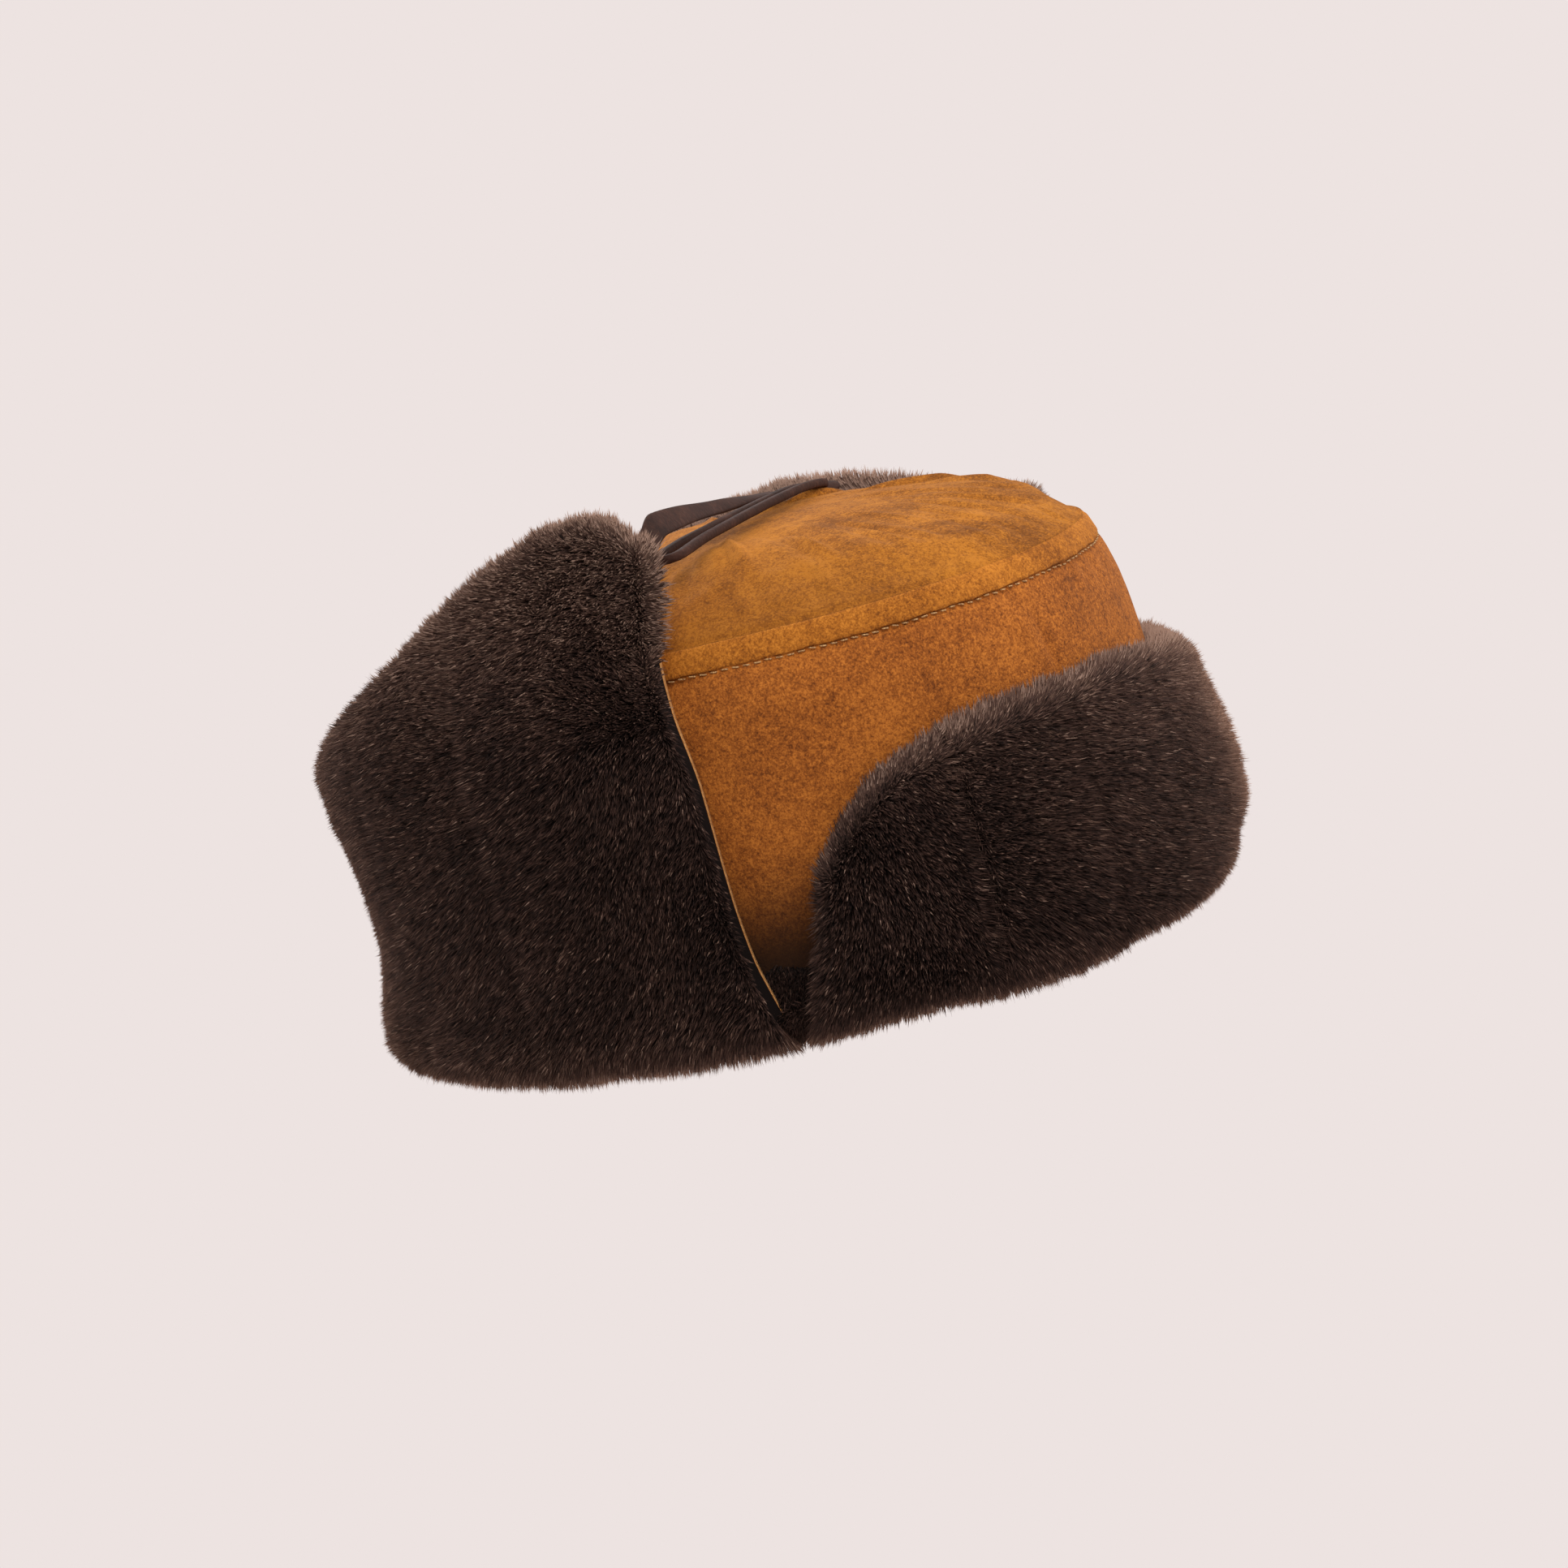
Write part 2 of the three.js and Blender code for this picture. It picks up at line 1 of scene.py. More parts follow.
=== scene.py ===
"""A suede hat lined with brown pile: a crown, flap strips turned up around it, leather ties.

Shapes are in millimetres and degrees, in the CAD frame; meshes are written in metres.
+Z is up and z = 0 is the crown's lower edge. The brow faces -Y and the wearer's right is -X.
Angles run around the crown from 0 at the brow, through 90 at -X, to 180 at the nape.
"Rise" is the distance up a flap from the fold along its lower edge.
"""
import bmesh
import bpy
import math
from types import SimpleNamespace
import numpy as np
from mathutils import Matrix, Vector

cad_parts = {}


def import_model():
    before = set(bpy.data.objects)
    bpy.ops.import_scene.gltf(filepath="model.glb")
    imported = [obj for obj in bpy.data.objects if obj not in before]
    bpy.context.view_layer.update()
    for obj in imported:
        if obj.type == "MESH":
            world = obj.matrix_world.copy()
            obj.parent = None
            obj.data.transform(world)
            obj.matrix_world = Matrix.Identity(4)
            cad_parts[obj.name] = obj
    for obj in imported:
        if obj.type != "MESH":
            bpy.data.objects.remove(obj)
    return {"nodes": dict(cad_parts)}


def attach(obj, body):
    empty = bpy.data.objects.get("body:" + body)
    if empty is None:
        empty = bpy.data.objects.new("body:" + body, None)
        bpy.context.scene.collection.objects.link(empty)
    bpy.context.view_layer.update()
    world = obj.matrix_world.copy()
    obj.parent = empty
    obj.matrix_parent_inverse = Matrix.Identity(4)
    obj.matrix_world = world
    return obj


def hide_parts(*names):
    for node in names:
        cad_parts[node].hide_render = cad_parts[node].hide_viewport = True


CAD_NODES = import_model()["nodes"]
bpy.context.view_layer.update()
RNG = np.random.default_rng(20261116)
UP = np.array([0, 0, 1.0])

# ---------------------------------------------------------------- crown sizes
OVAL_POWER = 2.2         # squareness of the head oval
OVAL_EXTRA = 19.0        # half length beyond half width
SKIN = 2.0               # suede thickness
GAP = 0.3                # clearance between neighbouring pieces
# z, half width of the side band
BAND = [[2.4, 97.0], [20, 98.0], [45, 99.5], [70, 100.1], [88, 99.9], [96, 98.6],
        [101, 97.0], [105, 95.4], [108, 94.2]]
BAND_LOW, BAND_TOP = BAND[0][0], BAND[-1][0]
STITCH_Z = 101.6         # groove that holds the stitches
TOP_HALF_WIDTH = 91.8
TOP_HALF_LENGTH = TOP_HALF_WIDTH + OVAL_EXTRA
TOP_Z, TOP_RISE = 109.3, 21.0

# ---------------------------------------------------------------- flap sizes
FOLD_WIDTH, FOLD_Z = 100.0, 0.5
CURTAIN_FROM, CURTAIN_TO = 79.5, 280.5      # ear and neck flaps
FRONT_FROM, FRONT_TO = -68.5, 69.0          # brow flap
# angle, flap length before the trim
CURTAIN_RIGHT_LENGTH = [
    [79.5, 131], [81, 138.5], [83, 144], [86, 147.5], [90, 149], [95, 148.5], [102, 143.5],
    [110, 135.5], [117, 127.5], [124, 120], [130, 113], [137, 106], [145, 98.5], [155, 91.5],
    [165, 87], [180, 85]]
CURTAIN_LEFT_LENGTH = [
    [180, 85], [195, 87], [205, 91.5], [215, 99.5], [223, 107.5], [230, 114], [236, 119.5],
    [243, 124], [250, 126.5], [256, 128], [262, 130], [266, 131.7], [270, 129.7], [273, 122.7],
    [276, 115.7], [279, 110.2], [280.5, 108]]
CURTAIN_TRIM = 2.2
# angle, flap length
FRONT_LENGTH = [
    [-68.5, 47], [-66, 53.5], [-62, 58.5], [-55, 62], [-40, 62.5], [-20, 61.6], [0, 65.4],
    [10, 68.2], [20, 69.5], [40, 69], [50, 66], [56, 62], [60, 57.3], [64, 50], [67, 41.5],
    [69, 30]]
# rise, half width: the curtain to rise 110, then above it on the right and on the left
WALL_WIDTH = [[0, 100.3], [18, 101.0], [40, 101.9], [60, 102.6], [74, 102.8], [88, 102.4],
              [97, 101.1], [104, 99.6], [110, 97.6]]
RIGHT_WIDTH = [[110, 97.6], [118, 95.6], [128, 92.6], [137, 89.4], [146, 85.8], [152, 83.2]]
LEFT_WIDTH = [[110, 97.6], [115, 94.8], [121, 89.8], [128, 83.0], [136, 74.8], [146, 64.6]]
# rise, z
RIGHT_Z = [[0, 1.5], [110, 111.2], [146, 145.6], [152, 151.2]]
LEFT_Z = [[0, 1.5], [104, 105.4], [110, 110.9], [115, 115.0], [121, 118.8], [128, 122.2],
          [136, 124.6], [146, 126.6]]
# rise, share of LOBE_DEG by which the left ear's front edge leans forward
LOBE_DEG = 24.0
LOBE = [[0, 0], [45, 0], [70, 0.35], [90, 0.8], [105, 1], [118, 0.9], [130, 0.5], [146, 0.1]]
# rise, degrees by which the right ear's front edge shifts forward
EDGE = [[0, 2.6], [8, 1.6], [22, 0.2], [40, -0.4], [70, -0.6], [95, -1.9], [110, -2.2],
        [125, -1.6], [146, -0.4]]
# rise, half width added over the neck and at the left ear's front edge
NECK_ADD = [[0, 0.4], [12, 0.1], [35, -0.5], [60, -0.2], [80, 1.0], [96, 1.4]]
LOBE_ADD = [[0, 0], [70, 0], [92, 1.3], [112, 1.3], [128, 0.3]]
# rise, degrees by which both ends of the brow flap spread
BROW = [[0, 3.5], [8, 2.4], [20, 0.6], [36, -0.8], [60, -1.2]]
# rise, half width of the brow flap
FRONT_WIDTH = [[0, 101.0], [10, 101.7], [25, 101.9], [45, 101.6], [60, 101.0], [74, 100.7]]
# rise, distance of the pile tips from the skin's crown side
EAR_TIPS = [[0, 16.0], [20, 14.9], [60, 14.0], [110, 13.6], [150, 13.0]]
NECK_TIPS = [[0, 17.0], [12, 14.9], [25, 12.0], [40, 9.6], [58, 9.8], [72, 11.4], [86, 12.6]]
FRONT_TIPS = [[0, 11.4], [8, 12.8], [18, 14.6], [30, 14.2], [48, 13.0], [74, 12.6]]
TRIM_Z = -9.5            # the pile is trimmed level here
FLOOR_Z = -310.0         # below the flaps and ties when they hang down


# ---------------------------------------------------------------- curves and vectors
def curve(rows, x):
    """Smooth curve through rows of (x, y) without overshoot, held level past both ends."""
    xs, ys = np.asarray(rows, float).T
    x = np.asarray(x, float)
    right = np.clip(np.searchsorted(xs, x, side="left"), 1, len(xs) - 1)
    left = right - 1
    slopes = (ys[1:] - ys[:-1]) / (xs[1:] - xs[:-1])
    before = slopes[np.maximum(left - 1, 0)]
    here = slopes[left]
    after = slopes[np.minimum(left + 1, len(slopes) - 1)]

    def tangent(a, b):
        total = a + b
        return np.where(a * b <= 0, 0.0,
                        2 * a * b / np.where(np.abs(total) < 1e-12, 1, total))

    width = xs[right] - xs[left]
    f = np.clip((x - xs[left]) / width, 0, 1)
    g = 1 - f
    bend = tangent(before, here) * g - tangent(here, after) * f
    return ys[left] * g * g * (1 + 2 * f) + ys[right] * f * f * (3 - 2 * f) + width * f * g * bend


def smooth(start, end, x):
    """Smooth step from 0 at start to 1 at end; start may be the larger."""
    f = np.clip((np.asarray(x, float) - start) / (end - start), 0, 1)
    return f * f * (3 - 2 * f)


def oval(angle, half_width, z, extra=OVAL_EXTRA):
    """Points on the head oval."""
    angle, half_width, z = np.broadcast_arrays(
        *(np.asarray(value, float) for value in (angle, half_width, z)))
    sine, cosine = np.sin(np.radians(angle)), np.cos(np.radians(angle))
    scale = (np.abs(sine) ** OVAL_POWER + np.abs(cosine) ** OVAL_POWER) ** (-1 / OVAL_POWER)
    return np.stack([-half_width * sine * scale, -(half_width + extra) * cosine * scale, z], -1)


def unit(vectors):
    return vectors / np.maximum(np.linalg.norm(vectors, axis=-1, keepdims=True), 1e-9)


def scaled(vectors, amounts):
    return vectors * np.asarray(amounts)[..., None]


def outward(angle):
    """Level outward normal of the oval."""
    step = oval(np.asarray(angle) + 0.05, FOLD_WIDTH, 0) - oval(
        np.asarray(angle) - 0.05, FOLD_WIDTH, 0)
    return unit(np.stack([-step[..., 1], step[..., 0], 0 * step[..., 0]], -1))


def arc_lengths(line):
    steps = np.linalg.norm(np.diff(line, axis=0), axis=1)
    return np.concatenate([[0], np.cumsum(steps)])


# ---------------------------------------------------------------- noise
def hash01(x, y, z, seed):
    n = (x * 374761393 + y * 668265263 + z * 1442695041 + seed * 1274126177) & 0xFFFFFFFF
    n = ((n ^ (n >> 13)) * 1274126177) & 0xFFFFFFFF
    n = ((n ^ (n >> 15)) * 2246822519) & 0xFFFFFFFF
    return ((n ^ (n >> 16)) & 0xFFFFFF) / float(0xFFFFFF)


def value_noise(points, seed):
    cell = np.floor(points).astype(np.int64)
    f = points - cell
    f = f * f * f * (f * (f * 6 - 15) + 10)
    share = (1 - f, f)
    total = 0
    for dx, dy, dz in np.ndindex(2, 2, 2):
        weight = share[dx][..., 0] * share[dy][..., 1] * share[dz][..., 2]
        total = total + weight * hash01(
            cell[..., 0] + dx, cell[..., 1] + dy, cell[..., 2] + dz, seed)
    return total * 2 - 1


def layered_noise(points, seed, octaves):
    total = 0
    for k in range(octaves):
        total = total + 0.5 ** k * value_noise(points * 2 ** k + 17.3 * k, seed + k)
    return total / sum(0.5 ** k for k in range(octaves))


def lumps(points, seed, amount, size, octaves=2):
    return amount * layered_noise(points / size, seed, octaves)


def wavy(angle, seed):
    """Slow wave around the crown that closes on itself."""
    a = np.radians(angle)
    return layered_noise(6.6 * np.stack([np.cos(a), np.sin(a), 0 * a], -1), seed, 3)


def gathers(angle, count, wobble, seed):
    """Uneven puckers along a seam, about count around the crown."""
    pucker = np.sin(np.radians(angle) * count + wobble * wavy(angle, seed))
    return pucker * (0.5 + 0.5 * wavy(angle, seed + 1))


# ---------------------------------------------------------------- meshes
def mesh_object(name, parts, materials):
    """One object from parts of (points in mm, face arrays, material slots or None)."""
    points = np.concatenate([part[0] for part in parts]) / 1000.0
    faces, slots, start = [], [], 0
    for part_points, groups, slot in parts:
        faces += [group + start for group in groups]
        start += len(part_points)
        if slot is not None:
            slots.append(np.broadcast_to(slot, sum(len(group) for group in groups)))
    loops = np.concatenate([group.ravel() for group in faces])
    sizes = np.concatenate([np.full(len(group), group.shape[1]) for group in faces])
    starts = np.concatenate([[0], np.cumsum(sizes)[:-1]])
    mesh = bpy.data.meshes.new(name)
    mesh.vertices.add(len(points))
    mesh.vertices.foreach_set("co", points.astype(np.float32).ravel())
    mesh.loops.add(len(loops))
    mesh.loops.foreach_set("vertex_index", loops.astype(np.int32))
    mesh.polygons.add(len(sizes))
    mesh.polygons.foreach_set("loop_start", starts.astype(np.int32))
    for material in materials:
        mesh.materials.append(material)
    if slots:
        mesh.polygons.foreach_set("material_index", np.concatenate(slots).astype(np.int32))
    mesh.polygons.foreach_set("use_smooth", np.full(len(sizes), True))
    mesh.update(calc_edges=True)
    mesh.validate()
    return link_object(name, mesh)


def link_object(name, data):
    obj = bpy.data.objects.new(name, data)
    bpy.context.scene.collection.objects.link(obj)
    return obj


def register(obj, body, piece):
    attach(obj, body)
    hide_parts(piece)


def recalc_normals(obj, fill_holes=False):
    bm = bmesh.new()
    bm.from_mesh(obj.data)
    if fill_holes:
        bmesh.ops.holes_fill(bm, edges=[e for e in bm.edges if e.is_boundary], sides=0)
    bmesh.ops.recalc_face_normals(bm, faces=bm.faces)
    bm.to_mesh(obj.data)
    bm.free()
    obj.data.update()


def quads(*corners):
    return np.stack(corners, -1).reshape(-1, 4)


def slab(inner, outer, closed=False):
    """Points and quads of a closed sheet between two grids; closed joins last row to first."""
    rows, columns = inner.shape[:2]
    points = np.concatenate([inner.reshape(-1, 3), outer.reshape(-1, 3)])
    a = np.arange(rows * columns).reshape(rows, columns)
    if closed:
        a = np.concatenate([a, a[:1]])
    b = a + rows * columns
    faces = [quads(b[:-1, :-1], b[1:, :-1], b[1:, 1:], b[:-1, 1:]),
             quads(a[:-1, :-1], a[:-1, 1:], a[1:, 1:], a[1:, :-1]),
             quads(a[:-1, 0], a[1:, 0], b[1:, 0], b[:-1, 0]),
             quads(a[:-1, -1], b[:-1, -1], b[1:, -1], a[1:, -1])]
    if not closed:
        faces += [quads(a[0, :-1], b[0, :-1], b[0, 1:], a[0, 1:]),
                  quads(a[-1, :-1], a[-1, 1:], b[-1, 1:], b[-1, :-1])]
    faces = np.concatenate(faces)
    p, q, r, s = (points[faces[:, k]] for k in range(4))
    volume = (np.einsum("ij,ij->i", p, np.cross(q, r))
              + np.einsum("ij,ij->i", p, np.cross(r, s))).sum()
    return points, (faces[:, ::-1] if volume < 0 else faces)


def domed_sheet(top, bottom):
    """Points and faces of a closed sheet between grids [angle][ring] that fan to a centre."""
    count = top.shape[0] * top.shape[1]
    centres = [[0, 0, grid[:, 0, 2].mean()] for grid in (top, bottom)]
    points = np.concatenate([top.reshape(-1, 3), bottom.reshape(-1, 3), centres])
    a = np.arange(count).reshape(top.shape[:2])
    a = np.concatenate([a, a[:1]])
    b = a + count
    sides = np.concatenate([quads(a[:-1, 1:], a[1:, 1:], a[1:, :-1], a[:-1, :-1]),
                            quads(b[:-1, :-1], b[1:, :-1], b[1:, 1:], b[:-1, 1:]),
                            quads(b[:-1, -1], b[1:, -1], a[1:, -1], a[:-1, -1])])
    centre = np.full(len(top), 2 * count)
    fans = np.concatenate([np.stack([centre, a[1:, 0], a[:-1, 0]], -1),
                           np.stack([centre + 1, b[:-1, 0], b[1:, 0]], -1)])
    return points, [sides, fans]


# ---------------------------------------------------------------- materials
def srgb(*rgb):
    """Linear RGBA from 0-255 sRGB."""
    shares = [c / 255 for c in rgb]
    return tuple(c / 12.92 if c <= 0.04045 else ((c + 0.055) / 1.055) ** 2.4
                 for c in shares) + (1.0,)


def set_inputs(node, inputs):
    """Fill a node's inputs: sockets are linked, other values are set."""
    for key, value in inputs.items():
        if isinstance(value, bpy.types.NodeSocket):
            node.id_data.links.new(value, node.inputs[key])
        else:
            node.inputs[key].default_value = value


def add_node(tree, kind, inputs={}, **settings):
    node = tree.nodes.new(kind)
    for key, value in settings.items():
        setattr(node, key, value)
    set_inputs(node, inputs)
    return node


class Shader:
    """A Principled material with short helpers for its nodes."""

    def __init__(self, name):
        self.material = bpy.data.materials.new(name)
        self.material.use_nodes = True
        self.tree = self.material.node_tree

    def principled(self, inputs):
        set_inputs(self.tree.nodes["Principled BSDF"], inputs)

    def object_axes(self):
        return add_node(self.tree, "ShaderNodeTexCoord").outputs["Object"]

    def coords(self):
        inputs = {"Vector": self.object_axes()}
        return add_node(self.tree, "ShaderNodeMapping", inputs).outputs["Vector"]

    def noise(self, vector, scale, detail, roughness=0.5, distortion=0.0):
        return add_node(self.tree, "ShaderNodeTexNoise", {
            "Vector": vector, "Scale": scale, "Detail": detail, "Roughness": roughness,
            "Distortion": distortion}).outputs["Fac"]

    def ramp(self, factor, stops):
        node = add_node(self.tree, "ShaderNodeValToRGB", {"Fac": factor})
        elements = node.color_ramp.elements
        while len(elements) < len(stops):
            elements.new(0.5)
        for k, (position, colour) in enumerate(stops):
            elements[k].position = position
            elements[k].color = colour
        return node.outputs["Color"]

    def math(self, operation, a, b=0.0):
        return add_node(self.tree, "ShaderNodeMath", {0: a, 1: b},
                        operation=operation).outputs[0]

    def weighted_sum(self, layers):
        (first, weight), *rest = layers
        total = self.math("MULTIPLY", first, weight)
        for layer, weight in rest:
            total = self.math("ADD", total, self.math("MULTIPLY", layer, weight))
        return total

    def fade(self, value, start, end, at_start, at_end):
        """Smooth change from at_start to at_end as value goes from start to end."""
        return add_node(self.tree, "ShaderNodeMapRange", {
            "Value": value, "From Min": start, "From Max": end,
            "To Min": at_start, "To Max": at_end},
            interpolation_type="SMOOTHSTEP").outputs["Result"]

    def mix(self, factor, a, b):
        # 0, 6 and 7 are the factor and the two colour inputs; output 2 is the colour
        return add_node(self.tree, "ShaderNodeMix", {0: factor, 6: a, 7: b},
                        data_type="RGBA").outputs[2]

    def bump(self, height, strength, distance, base=None):
        inputs = {"Height": height, "Strength": strength, "Distance": distance}
        if base is not None:
            inputs["Normal"] = base
        return add_node(self.tree, "ShaderNodeBump", inputs).outputs["Normal"]


FLAP_GAP_Y = 0.052       # metres; the gaps between brow and ear flaps lie at y = -FLAP_GAP_Y
# painted shade: object axis, where full and where gone (metres), strength, colour
# painted shade low on the band, where the flaps stand close to it
LOW_PAINTED_SHADE = dict(axis="Z", full=0.017, gone=0.054, strength=0.97, colour=(38, 23, 15))
# painted shade on the crown top's right side, beside the tall right ear flap
RIGHT_PAINTED_SHADE = dict(axis="X", full=-0.085, gone=-0.040, strength=0.30, colour=(112, 64, 24))


# painted shade: darkens the colour towards one end of an object axis
def suede_painted_shade(shader, colour, shade):
    axes = add_node(shader.tree, "ShaderNodeSeparateXYZ", {0: shader.object_axes()}).outputs
    amount = shader.fade(axes[shade["axis"]], shade["full"], shade["gone"],
                         at_start=shade["strength"], at_end=0.0)
    if shade is LOW_PAINTED_SHADE:
        # painted shade: darkest at the two gaps beside the ear flaps, fainter elsewhere
        off_gap = shader.math("ABSOLUTE", shader.math("ADD", axes["Y"], FLAP_GAP_Y))
        near_gap = shader.fade(off_gap, 0.030, 0.060, at_start=1.0, at_end=0.40)
        amount = shader.math("MULTIPLY", amount, near_gap)
    return shader.mix(amount, colour, srgb(*shade["colour"]))


def suede_material(name, light, mid, dark, bump=1.0, swirl=0.0, shade=None):
    shader = Shader(name)
    vector = shader.coords()
    broad = shader.noise(vector, scale=24, detail=3.0, roughness=0.6)
    patch = shader.noise(vector, scale=140, detail=5.0, roughness=0.7)
    fleck = shader.noise(vector, scale=620, detail=4.0, roughness=0.75)
    grain = shader.noise(vector, scale=1500, detail=3.0, roughness=0.75)
    tone = shader.weighted_sum([(broad, 0.14), (patch, 0.12), (fleck, 0.32), (grain, 0.42)])
    if swirl:
        # brushed patches where the nap lies another way
        brushed = shader.noise(vector, scale=30, detail=3.0, roughness=0.6, distortion=1.3)
        offset = shader.math("SUBTRACT", brushed, 0.5)
        tone = shader.math("ADD", tone, shader.math("MULTIPLY", offset, swirl))
    colour = shader.ramp(tone, [(0.40, srgb(*dark)), (0.495, srgb(*mid)), (0.58, srgb(*light))])
    # painted shade laid over the suede colour
    if shade:
        colour = suede_painted_shade(shader, colour, shade)
    patch_bump = shader.bump(patch, strength=0.35 * bump, distance=0.0008)
    shader.principled({
        "Base Color": colour, "Roughness": 0.95, "Specular IOR Level": 0.12,
        "Sheen Weight": 0.07, "Sheen Roughness": 0.5, "Sheen Tint": (1.0, 0.62, 0.30, 1),
        "Normal": shader.bump(grain, strength=0.8 * bump, distance=0.0004, base=patch_bump)})
    return shader.material


def fur_material(name, rgb, sheen, roughness=0.75):
    shader = Shader(name)
    noise = shader.noise(shader.coords(), scale=60, detail=3.0, roughness=0.6)
    shader.principled({
        "Base Color": srgb(*rgb), "Roughness": roughness, "Specular IOR Level": 0.12,
        "Sheen Weight": shader.math("MULTIPLY", noise, sheen),
        "Sheen Tint": shader.ramp(noise, [(0.3, srgb(176, 128, 104)),
                                          (0.7, srgb(206, 160, 134))]),
        "Sheen Roughness": 0.32})
    return shader.material


def leather_material():
    shader = Shader("tie_leather")
    vector = shader.coords()
    grain = shader.noise(vector, scale=700, detail=4.0, roughness=0.6)
    broad = shader.noise(vector, scale=60, detail=3.0, roughness=0.6)
    tone = shader.weighted_sum([(broad, 0.6), (grain, 0.4)])
    shader.principled({
        "Base Color": shader.ramp(tone, [(0.35, srgb(36, 21, 16)), (0.55, srgb(58, 35, 27)),
                                         (0.72, srgb(88, 57, 44))]),
        "Roughness": 0.72, "Specular IOR Level": 0.12,
        "Sheen Weight": 0.03, "Sheen Tint": srgb(176, 128, 104),
        "Normal": shader.bump(grain, strength=0.35, distance=0.0004)})
    return shader.material


def thread_material():
    shader = Shader("stitch_thread")
    noise = shader.noise(shader.coords(), scale=2500, detail=2.0)
    shader.principled({
        "Base Color": shader.ramp(noise, [(0.35, srgb(112, 70, 30)),
                                          (0.65, srgb(206, 162, 106))]),
        "Roughness": 0.75})
    return shader.material


# material slots of every pile mesh, dark to light; tuft tones round to these numbers, and mix
# random variation with painted light and painted shade
# the first slot, on the cushion, the tuft bases and the tufts' lower parts, is near black: painted
# shade deep in the pile
FUR = [fur_material("fur_root", (20, 13, 11), sheen=0.04, roughness=0.9),
       fur_material("fur_dark", (37, 25, 21), sheen=0.40),
       fur_material("fur_mid", (56, 39, 33), sheen=0.92),
       fur_material("fur_brown", (76, 54, 46), sheen=1.12),
       fur_material("fur_tip", (102, 77, 65), sheen=1.28),
       fur_material("fur_light", (142, 114, 99), sheen=1.4)]
# suedes: name, light, mid and dark colours
SUEDE_BAND = suede_material("suede_tan", (190, 113, 44), (150, 83, 31), (98, 50, 20),
                            shade=LOW_PAINTED_SHADE)
SUEDE_STRIP = suede_material("suede_tan_strip", (192, 119, 41), (158, 92, 29), (110, 59, 19),
                             swirl=0.22)
SUEDE_FLAP = suede_material("suede_flap", (200, 120, 48), (158, 87, 33), (104, 53, 22))
SUEDE_TOP = suede_material("suede_tan_top", (178, 110, 33), (144, 84, 23), (100, 54, 15),
                           swirl=0.30, shade=RIGHT_PAINTED_SHADE)
CUT_EDGE = suede_material("suede_cut_edge", (206, 156, 100), (182, 128, 74), (150, 98, 52),
                          bump=0.6)
LEATHER = leather_material()
THREAD = thread_material()

# ---------------------------------------------------------------- crown
# dents in the band: angle, z, width in degrees, height, depth
BAND_CREASES = [(24, 84, 1.0, 10, 0.9), (27.5, 88, 1.6, 7, -0.5),
                (58, 60, 2.2, 18, 0.5), (312, 70, 1.8, 16, 0.6)]
# section of the raised seam strip: share of its height, share of its thickness
STRIP_PROFILE = [(0.0, 0.15), (0.02, 0.65), (0.07, 1.05), (0.16, 1.32), (0.35, 1.45),
                 (0.6, 1.5), (0.8, 1.48), (0.9, 1.35), (0.96, 1.0), (1.0, 0.35)]
STRIP_THICKNESS = 0.72
STITCH_PITCH, STITCH_LENGTH, STITCH_RADIUS = 3.15, 2.15, 0.24
# dents in the top panel: x, y, half width, half length, depth
TOP_DENTS = [(-34, -8, 26, 34, 1.3), (-30, -62, 14, 20, 0.9), (-52, -30, 13, 40, -0.9)]
TOP_SWELL = (52, -78, 30, 26, 2.6)          # same columns, but a height


def draw_in(points):
    """Draw the crown in towards its top at the brow, as the seam pulls it."""
    amount = smooth(55, 100, points[..., 2]) * smooth(50, 118, -points[..., 1])
    points = points.copy()
    points[..., 1] += 3.6 * amount
    return points


def band_swell(points, angle, z):
    """Outward swell of the soft band: broad dents, seam puckers and short creases."""
    swell = lumps(points, 11, 1.0, 46) + lumps(points, 12, 0.45, 17)
    swell = swell + 0.28 * gathers(angle, 62, 2.5, 8) * smooth(86, 99, z) * (
        1 - smooth(100.6, 102.0, z))
    swell = swell - 0.25 * np.exp(-((z - STITCH_Z) / 1.1) ** 2)
    for at, height, wide, tall, depth in BAND_CREASES:
        swell = swell - depth * np.exp(
            -((angle - at - 0.06 * (z - height)) / wide) ** 2 - ((z - height) / tall) ** 2)
    return swell


def build_band():
    angle = np.linspace(0, 360, 540, endpoint=False)[:, None]
    z = np.concatenate([[0.0, 0.35, 1.0], np.linspace(BAND_LOW, 96, 44),
                        np.linspace(97, BAND_TOP, 19)])[None, :]
    # the lower edge is rounded under and its hem reaches in to half width 88
    width = np.where(z < BAND_LOW, 96.6 + 0.17 * z, curve(BAND, z)) - 0.5 * (z < 0.2)
    points = oval(angle, width, z)
    swell = np.maximum(band_swell(points, angle, z) * smooth(0, 6, z), -1.2)
    outer = draw_in(points + scaled(outward(angle), swell))
    inner_z = np.where(z < 1.3, np.where(z < 0.2, 0.0, 1.2), z)
    inner = draw_in(oval(angle, np.where(z < 1.3, 88.0, width - SKIN), inner_z))
    points, faces = slab(inner, outer, closed=True)
    band = mesh_object("band_suede", [(points, [faces], None)], [SUEDE_BAND])
    register(band, "crown", "side_band")


